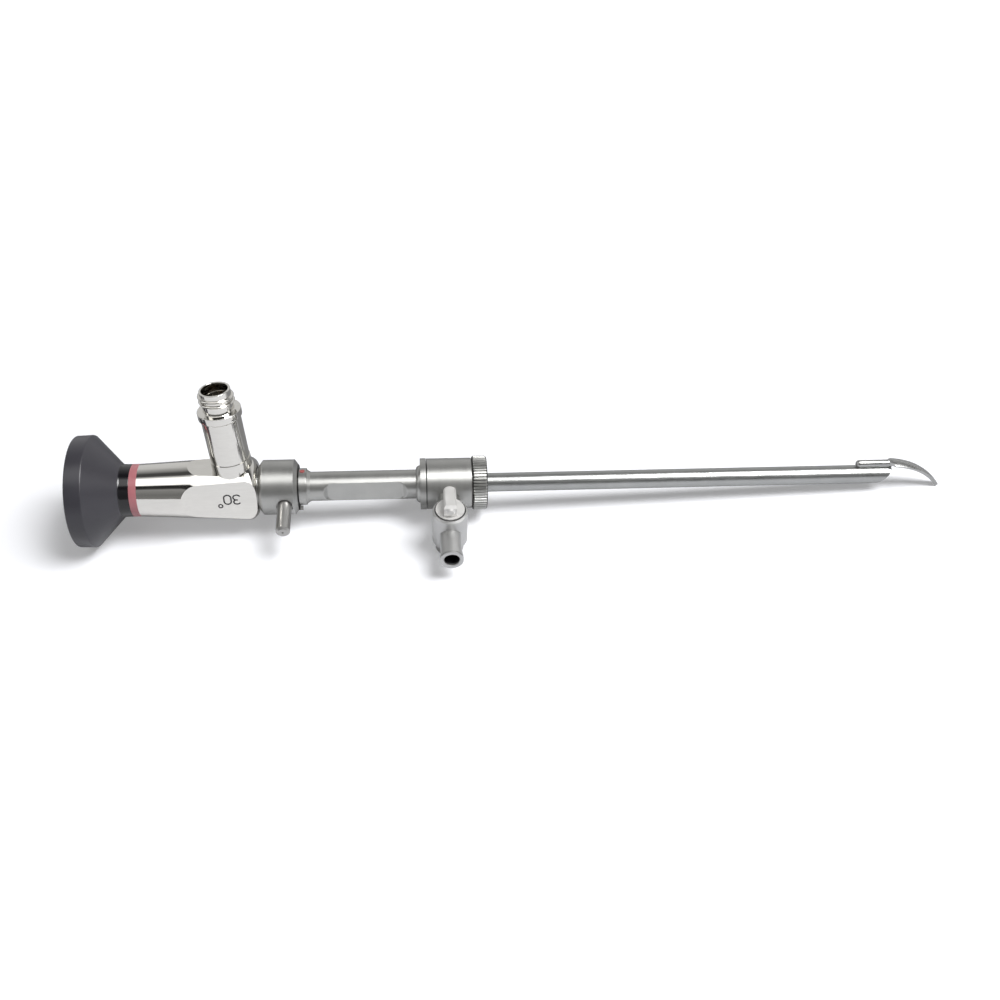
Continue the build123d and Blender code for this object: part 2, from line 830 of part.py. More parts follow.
# Hub barrel with the neck that carries the stopcock
barrel_bore = hub_journal_diameter / 2 + hub_running_gap
seal_stations = (barrel_start + hub_seal_from_end, barrel_end - hub_seal_from_end)
neck_seat = stopcock_distance - stopcock_diameter / 2 + socket_depth
with BuildPart() as hub_barrel:
    with BuildSketch(lengthwise):
        with BuildLine():
            Polyline(
                (barrel_start, barrel_bore),
                (barrel_start, barrel_diameter / 2),
                (barrel_end, barrel_diameter / 2),
                (barrel_end, barrel_bore),
                close=True,
            )
        make_face()
        chamfer(vertices().group_by(Axis(lengthwise.origin, lengthwise.y_dir))[-1], barrel_chamfer)
    revolve(axis=optical_axis)
    with BuildSketch(luer_section(barrel_bore + port_groove_depth)):
        Circle(port_neck_diameter / 2)
    extrude(amount=neck_seat - barrel_bore - port_groove_depth)
    with BuildSketch(luer_section(0)):
        Circle(port_bore_diameter / 2)
    extrude(amount=stopcock_distance, mode=Mode.SUBTRACT)
    spin(
        lengthwise,
        [
            (hub_station - port_groove_width / 2, barrel_bore - hub_running_gap),
            (hub_station - port_groove_width / 2, barrel_bore + port_groove_depth),
            (hub_station + port_groove_width / 2, barrel_bore + port_groove_depth),
            (hub_station + port_groove_width / 2, barrel_bore - hub_running_gap),
        ],
        optical_axis,
        mode=Mode.SUBTRACT,
    )
    for station in seal_stations:
        with BuildSketch(lengthwise):
            with Locations((station, barrel_bore)):
                Rectangle(hub_seal_section, 2 * hub_seal_section)
        revolve(axis=optical_axis, mode=Mode.SUBTRACT)
hub_barrel.part.label = "hub_barrel"

# Two O-rings that seal the hub on its journal
with BuildPart() as hub_seals:
    for station in seal_stations:
        with BuildSketch(lengthwise):
            with Locations((station, barrel_bore + hub_seal_section / 2)):
                Circle(hub_seal_section / 2)
        revolve(axis=optical_axis)
hub_seals.part.label = "hub_seals"

# Stopcock body, an upright barrel brazed to the hub's neck
plug_bore = plug_diameter / 2 + plug_gap
half_height = stopcock_height / 2
with BuildPart() as stopcock_body:
    spin(
        tap_profile,
        [
            (-half_height, plug_bore),
            (-half_height, stopcock_diameter / 2 - stopcock_chamfer),
            (stopcock_chamfer - half_height, stopcock_diameter / 2),
            (half_height - stopcock_round, stopcock_diameter / 2),
            (half_height, stopcock_diameter / 2 - stopcock_round),
            (half_height, tap_recess_diameter / 2),
            (half_height - tap_recess_depth, tap_recess_diameter / 2),
            (half_height - tap_recess_depth, plug_bore),
        ],
        tap_axis,
    )
    with BuildSketch(luer_section(0)):
        Circle(port_bore_diameter / 2)
    extrude(amount=luer_reach, mode=Mode.SUBTRACT)
    with BuildSketch(luer_section(luer_seat)):
        Circle(luer_tube_diameter / 2 + fit_gap)
    extrude(amount=stopcock_diameter, mode=Mode.SUBTRACT)
    with BuildSketch(luer_section(neck_seat)):
        Circle(port_neck_diameter / 2 + fit_gap)
    extrude(amount=-stopcock_diameter, mode=Mode.SUBTRACT)
stopcock_body.part.label = "stopcock_body"

# Luer connector with its tapered socket and a grooved lip
luer_inner = luer_mouth_diameter / 2 - luer_taper * luer_taper_length / 2
lip_groove_front = luer_reach - luer_lip_groove_inset
lip_groove_back = lip_groove_front - luer_lip_groove_width
with BuildPart() as luer_connector:
    spin(
        luer_profile,
        [
            (luer_seat, port_bore_diameter / 2),
            (luer_seat, luer_tube_diameter / 2),
            (luer_reach - luer_lip_width, luer_tube_diameter / 2),
            (luer_reach - luer_lip_width, luer_lip_diameter / 2),
            (lip_groove_back, luer_lip_diameter / 2),
            (lip_groove_back, luer_lip_diameter / 2 - luer_lip_groove_depth),
            (lip_groove_front, luer_lip_diameter / 2 - luer_lip_groove_depth),
            (lip_groove_front, luer_lip_diameter / 2),
            (luer_reach, luer_lip_diameter / 2),
            (luer_reach, luer_mouth_diameter / 2 + luer_mouth_chamfer),
            (luer_reach - luer_mouth_chamfer, luer_mouth_diameter / 2),
            (luer_reach - luer_taper_length, luer_inner),
            (luer_reach - luer_taper_length, port_bore_diameter / 2),
        ],
        luer_axis,
    )
luer_connector.part.label = "luer_connector"

# Tap plug: disc on top, bored plug, and a tail that carries the washer and the nut
disc_top = half_height + tap_disc_proud
tail_radius = tap_washer_diameter / 4
plug_end = -half_height + end_gap
nut_top = -half_height - tap_washer_thickness
tap_tail_end = nut_top - tap_nut_height / 2
with BuildPart() as tap_plug:
    spin(
        tap_profile,
        [
            (tap_tail_end, 0),
            (tap_tail_end, tail_radius),
            (plug_end, tail_radius),
            (plug_end, plug_diameter / 2),
            (half_height - tap_recess_depth + end_gap, plug_diameter / 2),
            (half_height - tap_recess_depth + end_gap, tap_disc_diameter / 2),
            (disc_top, tap_disc_diameter / 2),
            (disc_top, 0),
        ],
        tap_axis,
    )
    with BuildSketch(luer_section(stopcock_distance - plug_diameter)):
        Circle(port_bore_diameter / 2)
    extrude(amount=2 * plug_diameter, mode=Mode.SUBTRACT)
tap_plug.part.label = "tap_plug"

# Spring washer and cap nut under the stopcock
with BuildPart() as tap_washer:
    with BuildSketch(tap_section(nut_top)):
        Circle(tap_washer_diameter / 2)
        Circle(tail_radius + fit_gap, mode=Mode.SUBTRACT)
    extrude(amount=tap_washer_thickness - end_gap)
tap_washer.part.label = "tap_washer"
with BuildPart() as tap_nut:
    spin(
        tap_profile,
        [
            (nut_top - tap_nut_height, 0),
            (nut_top - tap_nut_height, tap_nut_diameter / 2 - stopcock_round),
            (nut_top - tap_nut_height + stopcock_round, tap_nut_diameter / 2),
            (nut_top, tap_nut_diameter / 2),
            (nut_top, tail_radius + fit_gap),
            (tap_tail_end, tail_radius + fit_gap),
            (tap_tail_end, 0),
        ],
        tap_axis,
    )
tap_nut.part.label = "tap_nut"

# Tap lever, a bar with a rounded back end and a bevelled front
with BuildPart() as tap_lever:
    with BuildSketch(tap_section(disc_top)):
        with BuildLine():
            back_left = (-tap_lever_width / 2, tap_lever_back - tap_lever_width / 2)
            front_left = (-tap_lever_width / 2, -tap_lever_front)
            front_right = (tap_lever_width / 2, -tap_lever_front)
            back_right = (tap_lever_width / 2, tap_lever_back - tap_lever_width / 2)
            Polyline(back_left, front_left, front_right, back_right)
            ThreePointArc(back_right, (0, tap_lever_back), back_left)
        make_face()
    extrude(amount=tap_lever_height)
    top_edges = edges().group_by(tap_axis)[-1].sort_by(luer_axis)
    chamfer(top_edges[-1], tap_lever_front_chamfer)
    top_edges = edges().group_by(tap_axis)[-1].sort_by(luer_axis)
    chamfer(top_edges[:-1], tap_lever_chamfer)
    with BuildSketch(luer_section(stopcock_distance + tap_lever_front)):
        with Locations((0, disc_top + tap_lever_height / 2)):
            Circle(tap_boss_diameter / 2)
    extrude(amount=tap_boss_length, taper=45)
tap_lever.part.label = "tap_lever"

# Knurled nut that keeps the hub on the sheath
nut_radius = nut_diameter / 2
groove_width = pi * nut_diameter / nut_ridges * nut_groove_share
with BuildPart() as knurled_nut:
    with BuildSketch(across(nut_start)):
        Circle(nut_radius)
        with PolarLocations(nut_radius, nut_ridges):
            Triangle(a=groove_width, b=groove_width, C=nut_groove_angle, mode=Mode.SUBTRACT)
        Circle(nut_thread_diameter / 2 + fit_gap, mode=Mode.SUBTRACT)
    extrude(amount=nut_length)
    for rim, inward in ((nut_start, 1), (nut_end, -1)):
        spin(
            lengthwise,
            [
                (rim + inward * nut_chamfer, nut_radius + nut_chamfer),
                (rim + inward * nut_chamfer, nut_radius),
                (rim, nut_radius - nut_chamfer),
                (rim, nut_radius + nut_chamfer),
            ],
            optical_axis,
            mode=Mode.SUBTRACT,
        )
knurled_nut.part.label = "knurled_nut"

# Sheath tube with a bevelled opening at the tip
tube_radius = tube_diameter / 2
with BuildPart() as sheath_tube:
    with BuildSketch(across(tube_seat)):
        Circle(tube_radius)
        Circle(tube_radius - tube_wall, mode=Mode.SUBTRACT)
    extrude(amount=tube_reach - tube_seat)
    with BuildSketch(lengthwise):
        with BuildLine():
            Polyline(
                (tube_reach, tube_radius - tube_bevel_lip),
                (tube_reach - tube_bevel_length, -tube_radius),
                (tube_reach, -tube_radius),
                close=True,
            )
        make_face()
    extrude(amount=tube_diameter, both=True, mode=Mode.SUBTRACT)
    for way in (luer_way, -luer_way):
        with BuildSketch(placed(along * hub_station, along, way)):
            Circle(side_port_diameter / 2)
        extrude(amount=tube_diameter, mode=Mode.SUBTRACT)
sheath_tube.part.label = "sheath_tube"

# Spatula: a rod brazed along the tube that carries a crowned blade bent down past the tip
bend_line = placed(bend_centre, along, aside)
rod_profile = placed(upward * rod_height, along, -aside)
rod_radius = rod_diameter / 2
with BuildPart() as spatula:
    with BuildSketch(across(blade_start)):
        with Locations((0, blade_top - blade_crown_radius)):
            Circle(blade_crown_radius)
            Circle(blade_floor, mode=Mode.SUBTRACT)
        with Locations((0, blade_top)):
            Rectangle(blade_width, 2 * corner_depth, mode=Mode.INTERSECT)
    revolve(axis=Axis(bend_line.origin, bend_line.z_dir), revolution_arc=blade_sweep)
    with BuildSketch(placed(Vector(0, 0, 0), along, upward)):
        with BuildLine():
            Polyline(
                (blade_start, -blade_root_width / 2),
                (blade_shoulder, -blade_width / 2),
                (blade_taper_start, -blade_width / 2),
                (tip_touch.X, -blade_tip_width / 2),
                (tip_front.X + blade_thickness, -blade_tip_width / 2),
                (tip_front.X + blade_thickness, blade_tip_width / 2),
                (tip_touch.X, blade_tip_width / 2),
                (blade_taper_start, blade_width / 2),
                (blade_shoulder, blade_width / 2),
                (blade_start, blade_root_width / 2),
                close=True,
            )
        make_face()
    extrude(amount=blade_bend_radius, both=True, mode=Mode.INTERSECT)
    with BuildSketch(rod_profile):
        with BuildLine():
            ThreePointArc(
                (rod_start, 0),
                (rod_start + rod_radius * (1 - cos(radians(45))), rod_radius * sin(radians(45))),
                (rod_start + rod_radius, rod_radius),
            )
            Polyline(
                (rod_start + rod_radius, rod_radius),
                (tube_reach, rod_radius),
                (tube_reach, 0),
                (rod_start, 0),
            )
        make_face()
    revolve(axis=Axis(rod_profile.origin, rod_profile.x_dir))
    with BuildSketch(across(rod_start)):
        Circle(tube_radius)
    extrude(amount=rod_length, mode=Mode.SUBTRACT)
spatula.part.label = "spatula"

os.makedirs("parts", exist_ok=True)
export_step(eyepiece_cup.part, "parts/eyepiece_cup.step")
export_step(eyepiece_window.part, "parts/eyepiece_window.step")
export_step(colour_ring.part, "parts/colour_ring.step")
export_step(telescope_body.part, "parts/telescope_body.step")
export_step(ocular_mount.part, "parts/ocular_mount.step")
export_step(ocular_lens.part, "parts/ocular_lens.step")
export_step(light_post_base.part, "parts/light_post_base.step")
export_step(light_post_sleeve.part, "parts/light_post_sleeve.step")
export_step(light_guide_connector.part, "parts/light_guide_connector.step")
export_step(light_ferrule.part, "parts/light_ferrule.step")
export_step(fibre_bundle.part, "parts/fibre_bundle.step")
export_step(light_fibres.part, "parts/light_fibres.step")
export_step(telescope_shaft.part, "parts/telescope_shaft.step")
export_step(optics_tube.part, "parts/optics_tube.step")
export_step(rod_lenses.part, "parts/rod_lenses.step")
export_step(lens_spacers.part, "parts/lens_spacers.step")
export_step(objective_prism.part, "parts/objective_prism.step")
export_step(distal_window.part, "parts/distal_window.step")
export_step(lock_retainer.part, "parts/lock_retainer.step")
export_step(lock_collar.part, "parts/lock_collar.step")
export_step(lever_pin.part, "parts/lever_pin.step")
export_step(sheath_neck.part, "parts/sheath_neck.step")
export_step(index_dot.part, "parts/index_dot.step")
export_step(scope_seal.part, "parts/scope_seal.step")
export_step(hub_barrel.part, "parts/hub_barrel.step")
export_step(hub_seals.part, "parts/hub_seals.step")
export_step(stopcock_body.part, "parts/stopcock_body.step")
export_step(luer_connector.part, "parts/luer_connector.step")
export_step(tap_plug.part, "parts/tap_plug.step")
export_step(tap_washer.part, "parts/tap_washer.step")
export_step(tap_nut.part, "parts/tap_nut.step")
export_step(tap_lever.part, "parts/tap_lever.step")
export_step(knurled_nut.part, "parts/knurled_nut.step")
export_step(sheath_tube.part, "parts/sheath_tube.step")
export_step(spatula.part, "parts/spatula.step")
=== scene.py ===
"""Finishes for a rigid endoscope in its operating sheath, laid out as an add-on.

Stations run along the optical axis from the eyepiece's rim to the tip. In the instrument's own
millimetres +z points to the light post and -y to the stopcock.
"""

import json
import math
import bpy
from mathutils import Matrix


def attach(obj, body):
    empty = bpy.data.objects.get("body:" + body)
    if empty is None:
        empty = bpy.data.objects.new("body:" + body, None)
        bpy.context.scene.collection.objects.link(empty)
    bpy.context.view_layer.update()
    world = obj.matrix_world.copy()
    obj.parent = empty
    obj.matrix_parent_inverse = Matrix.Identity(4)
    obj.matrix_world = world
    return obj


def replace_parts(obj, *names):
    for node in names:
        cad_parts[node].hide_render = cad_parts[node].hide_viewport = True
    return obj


bl_info = {
    "name": "Rigid Endoscope",
    "version": (1, 0, 0),
    "blender": (4, 5, 0),
    "location": "View3D > Sidebar > Endoscope",
    "description": "Dresses the solids of a rigid endoscope and sets up its studio",
    "category": "Object",
}

from functools import partial

import bmesh
import bpy
from bpy.props import FloatProperty, IntProperty, PointerProperty
from mathutils import Matrix, Vector

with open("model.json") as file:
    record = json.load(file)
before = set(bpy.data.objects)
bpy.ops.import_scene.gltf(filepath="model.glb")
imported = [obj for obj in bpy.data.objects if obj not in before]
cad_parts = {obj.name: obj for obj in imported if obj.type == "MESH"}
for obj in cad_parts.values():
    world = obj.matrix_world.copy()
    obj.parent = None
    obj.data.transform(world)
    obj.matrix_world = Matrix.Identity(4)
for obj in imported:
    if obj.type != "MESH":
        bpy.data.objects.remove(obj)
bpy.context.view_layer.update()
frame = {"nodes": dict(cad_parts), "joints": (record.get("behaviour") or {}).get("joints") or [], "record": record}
NODES = frame["nodes"]
MM = 0.001
ROUNDING_STEP = math.radians(12)

# Stations and radii of the instrument, in millimetres
HUB_STATION = 104.47
POST_STATION = 44.2
SIDE_FLAT = 6.4
CUP_NECK = (12.5, 15.3)
CONNECTOR_BASE = 24.0
CONNECTOR_TOP = 32.7
CONNECTOR_RADIUS = 4.25
COLLAR_RADIUS = 6.0
COLLAR_HEIGHT = 2.5
SOCKET_RADIUS = 3.65
SOCKET_DEPTH = 7.6
FERRULE_RADIUS = 3.02
FERRULE_DEPTH = 0.6
BUNDLE_RADIUS = 2.22
THREAD_INSET = 1.15
NUT_START = 111.52
NUT_RADIUS = 7.9
NUT_BORE = 4.52
SEAMS = (61.81, 98.3)
GRIP_RADIUS = 4.225
GRIP_FLATS = (70.02, 91.52)
GRIP_FLAT = 3.05

# The ends of the grip's flats: how far out of and into a flat they reach, and the core inside them
RUNOUT_OUT = -1.4
RUNOUT_IN = 2.4
RUNOUT_CORE = 2.9
RUNOUT_CORNER = 1.7
RUNOUT_PROUD = 0.003

# Where steel is darkened, in millimetres: below the nut's radius, down the Luer socket and out from its
# axis, and out from the tap's axis to both sides of the seam. All three are painted shade, with grease in
# the nut's grooves and grime in the tap's seam
KNURL_RIDGES = (0.34, 0.06)
KNURL_FACES = (0.5, 0.4)
LUER_SHADE_DEPTHS = (-0.25, -0.9)
LUER_SHADE_RADII = (2.2, 2.3)
TAP_SEAM_INNER = (4.0, 4.06)
TAP_SEAM_OUTER = (4.3, 4.42)
TAP_SEAM_RISE = 0.5
SEAM_WIDTHS = (0.1, 0.2)

# The studio: the softbox's direction, spans on the floor in metres, and the camera in the instrument's terms
KEY_HEADING = (0.5, -0.24, 1.0)
GLOW_SPAN = (0.15, 0.9)
SHADE_SPAN = (-0.005, 0.03)
CAMERA_PLACE = (93.4, -265.4, 184.1)
CAMERA_RIGHT = (0.9964, -0.0797, 0.0280)
CAMERA_UP = (0.0237, 0.5815, 0.8132)
CAMERA_BACK = (-0.0811, -0.8096, 0.5813)

# The room's brightness, from the horizon behind the object over the zenith to the horizon in front
ROOM = (
    (0.0, 0.75), (0.2, 0.72), (0.267, 0.5), (0.33, 0.3), (0.385, 0.08), (0.455, 0.07), (0.5, 0.9),
    (0.52, 1.9), (0.665, 1.9), (0.69, 0.02), (0.755, 0.04), (0.78, 0.32), (0.9, 0.2), (1.0, 0.25),
)


def joint(name):
    """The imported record's joint of that name."""
    return next(j for j in frame["joints"] if j["name"] == name)


def mount(name):
    """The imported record's mount of that name."""
    return next(m for m in frame["record"]["mounts"] if m["name"] == name)


ALONG = Vector(joint("hub_turn")["axis"]).normalized()
POST_WAY = Vector(mount("light_guide_socket")["axis"]).normalized()
UPWARD = (POST_WAY - ALONG * POST_WAY.dot(ALONG)).normalized()
ASIDE = UPWARD.cross(ALONG)
EYE_POINT = Vector(joint("hub_turn")["pos_m"]) - ALONG * (HUB_STATION * MM)
INSTRUMENT = Matrix.Translation(EYE_POINT) @ Matrix((ALONG, ASIDE, UPWARD)).transposed().to_4x4()
TURN = INSTRUMENT.to_3x3()


def on_axis(origin, heading):
    """A place whose z runs along a direction of the frame, from a point of the instrument."""
    side = heading.cross(ASIDE).normalized()
    return Matrix.Translation(origin) @ Matrix((side, heading.cross(side), heading)).transposed().to_4x4()


def at(station, y=0.0, z=0.0):
    """A point of the instrument, from its own millimetres."""
    return INSTRUMENT @ (Vector((station, y, z)) * MM)


def way(x, y, z):
    """A direction of the instrument, in the frame."""
    return (TURN @ Vector((x, y, z))).normalized()


def linear(code):
    """An sRGB hex colour as linear RGBA."""
    parts = [int(code[i:i + 2], 16) / 255 for i in (1, 3, 5)]
    return tuple(c / 12.92 if c <= 0.04045 else ((c + 0.055) / 1.055) ** 2.4 for c in parts) + (1.0,)


# Materials

def add_node(tree, kind, inputs=None, **settings):
    """Add a node with its settings, constants and links."""
    made = tree.nodes.new(kind)
    for key, value in settings.items():
        setattr(made, key, value)
    for key, value in (inputs or {}).items():
        if isinstance(value, bpy.types.NodeSocket):
            tree.links.new(value, made.inputs[key])
        else:
            made.inputs[key].default_value = value
    return made


def new_material(name):
    """An empty material with an output, a Principled shader and the instrument's own coordinates."""
    made = bpy.data.materials.new(name)
    made.use_nodes = True
    tree = made.node_tree
    tree.nodes.clear()
    shader = add_node(tree, "ShaderNodeBsdfPrincipled")
    add_node(tree, "ShaderNodeOutputMaterial", {"Surface": shader.outputs["BSDF"]})
    place = add_node(tree, "ShaderNodeTexCoord")
    unposed = INSTRUMENT.inverted()
    own = add_node(
        tree,
        "ShaderNodeMapping",
        {"Vector": place.outputs["Object"], "Location": unposed.translation, "Rotation": unposed.to_euler()},
        vector_type="POINT",
    )
    return made, tree, shader, own.outputs["Vector"]


def new_metal(name):
    """A new material that is bare metal."""
    made, tree, shader, own = new_material(name)
    shader.inputs["Metallic"].default_value = 1.0
    return made, tree, shader, own


def reckoned(tree, operation, *values):
    """A math node's result, from patterns and numbers."""
    return add_node(tree, "ShaderNodeMath", dict(enumerate(values)), operation=operation).outputs[0]


def product(tree, first, second):
    """Two patterns, multiplied."""
    return reckoned(tree, "MULTIPLY", first, second)


def length_of(tree, vector):
    """How long a vector is."""
    return add_node(tree, "ShaderNodeVectorMath", {0: vector}, operation="LENGTH").outputs["Value"]


def station_of(tree, own):
    """How far along the instrument a place is, in metres."""
    return add_node(tree, "ShaderNodeSeparateXYZ", {"Vector": own}).outputs["X"]


def stretched(tree, own, scale):
    """The instrument's coordinates, scaled differently along and across it."""
    return add_node(tree, "ShaderNodeMapping", {"Vector": own, "Scale": scale}).outputs["Vector"]


def grain(tree, vector, pitch_mm, detail=2.0):
    """Noise whose features are about one pitch wide."""
    inputs = {"Vector": vector, "Scale": 1 / (pitch_mm * MM), "Detail": detail}
    return add_node(tree, "ShaderNodeTexNoise", inputs).outputs["Fac"]


def from_axis(tree, own):
    """The distance from the optical axis, in metres."""
    parts = add_node(tree, "ShaderNodeSeparateXYZ", {"Vector": own}).outputs
    flat = add_node(tree, "ShaderNodeCombineXYZ", {"Y": parts["Y"], "Z": parts["Z"]}).outputs["Vector"]
    return length_of(tree, flat)


def between(tree, value, start, end, low=0.0, high=1.0):
    """A value's way from one place to another, as a range of values."""
    ends = {"Value": value, "From Min": start, "From Max": end, "To Min": low, "To Max": high}
    return add_node(tree, "ShaderNodeMapRange", ends).outputs["Result"]


def spread(tree, value, low, high):
    """A 0 to 1 pattern as a range of values."""
    return between(tree, value, 0.3, 0.7, low, high)


def relief(tree, height, depth_mm, strength):
    """A bump of a real depth."""
    inputs = {"Height": height, "Distance": depth_mm * MM, "Strength": strength}
    return add_node(tree, "ShaderNodeBump", inputs).outputs["Normal"]


def tinted(tree, value, dark, light):
    """A colour that varies between two with a pattern."""
    made = add_node(tree, "ShaderNodeMix", {0: value}, data_type="RGBA")
    made.inputs[6].default_value = linear(dark)
    made.inputs[7].default_value = linear(light)
    return made.outputs[2]


def shaded(tree, colour, shade, dark):
    """A colour that gives way to a dark one where a pattern reaches 1."""
    made = add_node(tree, "ShaderNodeMix", {0: shade, 6: colour}, data_type="RGBA")
    made.inputs[7].default_value = linear(dark)
    return made.outputs[2]


def off_line(tree, own, point, heading):
    """How far a place lies along a line of the frame, and how far off it, in metres."""
    start, run = INSTRUMENT.inverted() @ Vector(point), TURN.transposed() @ Vector(heading)
    arm = add_node(tree, "ShaderNodeVectorMath", {0: own, 1: start}, operation="SUBTRACT").outputs[0]
    along = add_node(tree, "ShaderNodeVectorMath", {0: arm, 1: run}, operation="DOT_PRODUCT").outputs["Value"]
    across = add_node(tree, "ShaderNodeVectorMath", {0: arm, 1: run}, operation="CROSS_PRODUCT").outputs[0]
    return along, length_of(tree, across)


def seam_grime_and_shade(tree, own, stations):
    """The narrow seams between turned parts, darkened as grime and painted shade: 1 on a seam and 0 beside it."""
    station = station_of(tree, own)
    full, gone = (width * MM for width in SEAM_WIDTHS)
    seams = None
    for place in stations:
        gap = reckoned(tree, "ABSOLUTE", reckoned(tree, "SUBTRACT", station, place * MM))
        seam = between(tree, gap, full, gone, 1.0, 0.0)
        seams = seam if seams is None else reckoned(tree, "MAXIMUM", seams, seam)
    return seams


def eyecup_plastic():
    """Moulded black thermoplastic: charcoal with a soft sheen, and a neck that fingers have polished."""
    made, tree, shader, own = new_material("moulded black thermoplastic")
    cloud = grain(tree, own, 9.0, 3.0)
    skin = grain(tree, own, 0.22, 2.0)
    neck = between(tree, station_of(tree, own), (CUP_NECK[0] - 0.3) * MM, (CUP_NECK[0] + 0.1) * MM)
    moulded = tinted(tree, cloud, "#2c2b30", "#36353b")
    tree.links.new(shaded(tree, moulded, neck, "#0e0d10"), shader.inputs["Base Color"])
    matt = spread(tree, cloud, 0.3, 0.4)
    rough = add_node(tree, "ShaderNodeMix", {0: neck, 2: matt, 3: 0.14}, data_type="FLOAT")
    tree.links.new(rough.outputs[0], shader.inputs["Roughness"])
    tree.links.new(relief(tree, skin, 0.006, 0.4), shader.inputs["Normal"])
    return made


def ring_enamel():
    """Faded red anodised ring: dusty pink red, satin."""
    made, tree, shader, own = new_material("faded red ring")
    cloud = grain(tree, own, 3.0, 3.0)
    tree.links.new(tinted(tree, cloud, "#a05c62", "#b57a7e"), shader.inputs["Base Color"])
    tree.links.new(spread(tree, cloud, 0.3, 0.44), shader.inputs["Roughness"])
    return made


def polished_steel():
    """Buffed stainless steel: a clear mirror, with the faintest haze of lengthwise buffing."""
    made, tree, shader, own = new_metal("buffed stainless steel")
    haze = grain(tree, stretched(tree, own, (0.15, 1.0, 1.0)), 0.6, 3.0)
    tree.links.new(tinted(tree, haze, "#d2d0cb", "#dfddd8"), shader.inputs["Base Color"])
    tree.links.new(spread(tree, haze, 0.05, 0.1), shader.inputs["Roughness"])
    tree.links.new(relief(tree, haze, 0.004, 0.2), shader.inputs["Normal"])
    return made


def turned_steel():
    """Satin turned stainless steel: grey, with fine rings round the axis, and grime and painted shade in the
    seams.
    """
    made, tree, shader, own = new_metal("satin turned stainless steel")
    rings = grain(tree, stretched(tree, own, (1.0, 0.02, 0.02)), 0.12, 2.0)
    cloud = grain(tree, own, 4.0, 3.0)
    steel = tinted(tree, cloud, "#a1a19f", "#b1b1ae")
    seams = seam_grime_and_shade(tree, own, SEAMS)
    # Grime and painted shade: each seam between turned parts is darkened.
    tree.links.new(shaded(tree, steel, seams, "#1d1d1c"), shader.inputs["Base Color"])
    tree.links.new(spread(tree, rings, 0.3, 0.42), shader.inputs["Roughness"])
    tree.links.new(relief(tree, rings, 0.006, 0.35), shader.inputs["Normal"])
    return made


def drawn_tube():
    """Drawn stainless tube: satin, with fine lines along it that stretch the highlight."""
    made, tree, shader, own = new_metal("drawn stainless tube")
    lines = grain(tree, stretched(tree, own, (0.02, 1.0, 1.0)), 0.16, 2.0)
    cloud = grain(tree, own, 5.0, 3.0)
    tree.links.new(tinted(tree, cloud, "#9a9b9a", "#abacab"), shader.inputs["Base Color"])
    tree.links.new(spread(tree, lines, 0.24, 0.36), shader.inputs["Roughness"])
    tree.links.new(relief(tree, lines, 0.005, 0.3), shader.inputs["Normal"])
    return made


def brushed_blade():
    """Brushed stainless blade: about as grey as the tube, with shorter lines along it."""
    made, tree, shader, own = new_metal("brushed stainless blade")
    lines = grain(tree, stretched(tree, own, (0.05, 1.0, 1.0)), 0.16, 2.0)
    tree.links.new(tinted(tree, lines, "#9c9c9b", "#b2b2b1"), shader.inputs["Base Color"])
    tree.links.new(spread(tree, lines, 0.22, 0.32), shader.inputs["Roughness"])
    tree.links.new(relief(tree, lines, 0.005, 0.3), shader.inputs["Normal"])
    return made


def blasted_steel():
    """Bead blasted stainless steel: even and gritty, painted shade in the socket, grime and painted shade round
    the tap's disc.
    """
    made, tree, shader, own = new_metal("bead blasted stainless steel")
    grit = grain(tree, own, 0.18, 2.0)
    cloud = grain(tree, own, 3.0, 3.0)
    steel = tinted(tree, cloud, "#b1b1b0", "#c1c1c0")
    luer = mount("luer_socket")
    along, across = off_line(tree, own, luer["pos_m"], luer["axis"])
    deep = between(tree, along, *(depth * MM for depth in LUER_SHADE_DEPTHS))
    inside = between(tree, across, *(radius * MM for radius in LUER_SHADE_RADII), 1.0, 0.0)
    # Painted shade: the Luer socket's bore is darkened below its mouth.
    steel = shaded(tree, steel, product(tree, deep, inside), "#5a585d")
    tap = joint("tap_turn")
    up, out = off_line(tree, own, tap["pos_m"], tap["axis"])
    beyond = between(tree, out, *(radius * MM for radius in TAP_SEAM_INNER))
    within = between(tree, out, *(radius * MM for radius in TAP_SEAM_OUTER), 1.0, 0.0)
    seam = product(tree, product(tree, beyond, within), between(tree, up, 0.0, TAP_SEAM_RISE * MM))
    # Grime and painted shade: a thin dark ring in the seam round the tap's disc.
    steel = shaded(tree, steel, seam, "#1d1d1e")
    tree.links.new(steel, shader.inputs["Base Color"])
    tree.links.new(spread(tree, grit, 0.4, 0.52), shader.inputs["Roughness"])
    tree.links.new(relief(tree, grit, 0.01, 0.35), shader.inputs["Normal"])
    return made


def tumbled_steel():
    """Tumbled stainless steel: pale, smooth and softly shining."""
    made, tree, shader, own = new_metal("tumbled stainless steel")
    cloud = grain(tree, own, 2.0, 3.0)
    tree.links.new(tinted(tree, cloud, "#d0cfcd", "#dbdad8"), shader.inputs["Base Color"])
    tree.links.new(spread(tree, cloud, 0.5, 0.58), shader.inputs["Roughness"])
    return made


def bright_turned_steel():
    """Fine turned stainless steel: grey and even, with a soft highlight."""
    made, tree, shader, own = new_metal("fine turned stainless steel")
    cloud = grain(tree, own, 1.5, 3.0)
    tree.links.new(tinted(tree, cloud, "#a6a5a3", "#b2b1af"), shader.inputs["Base Color"])
    tree.links.new(spread(tree, cloud, 0.38, 0.4), shader.inputs["Roughness"])
    return made


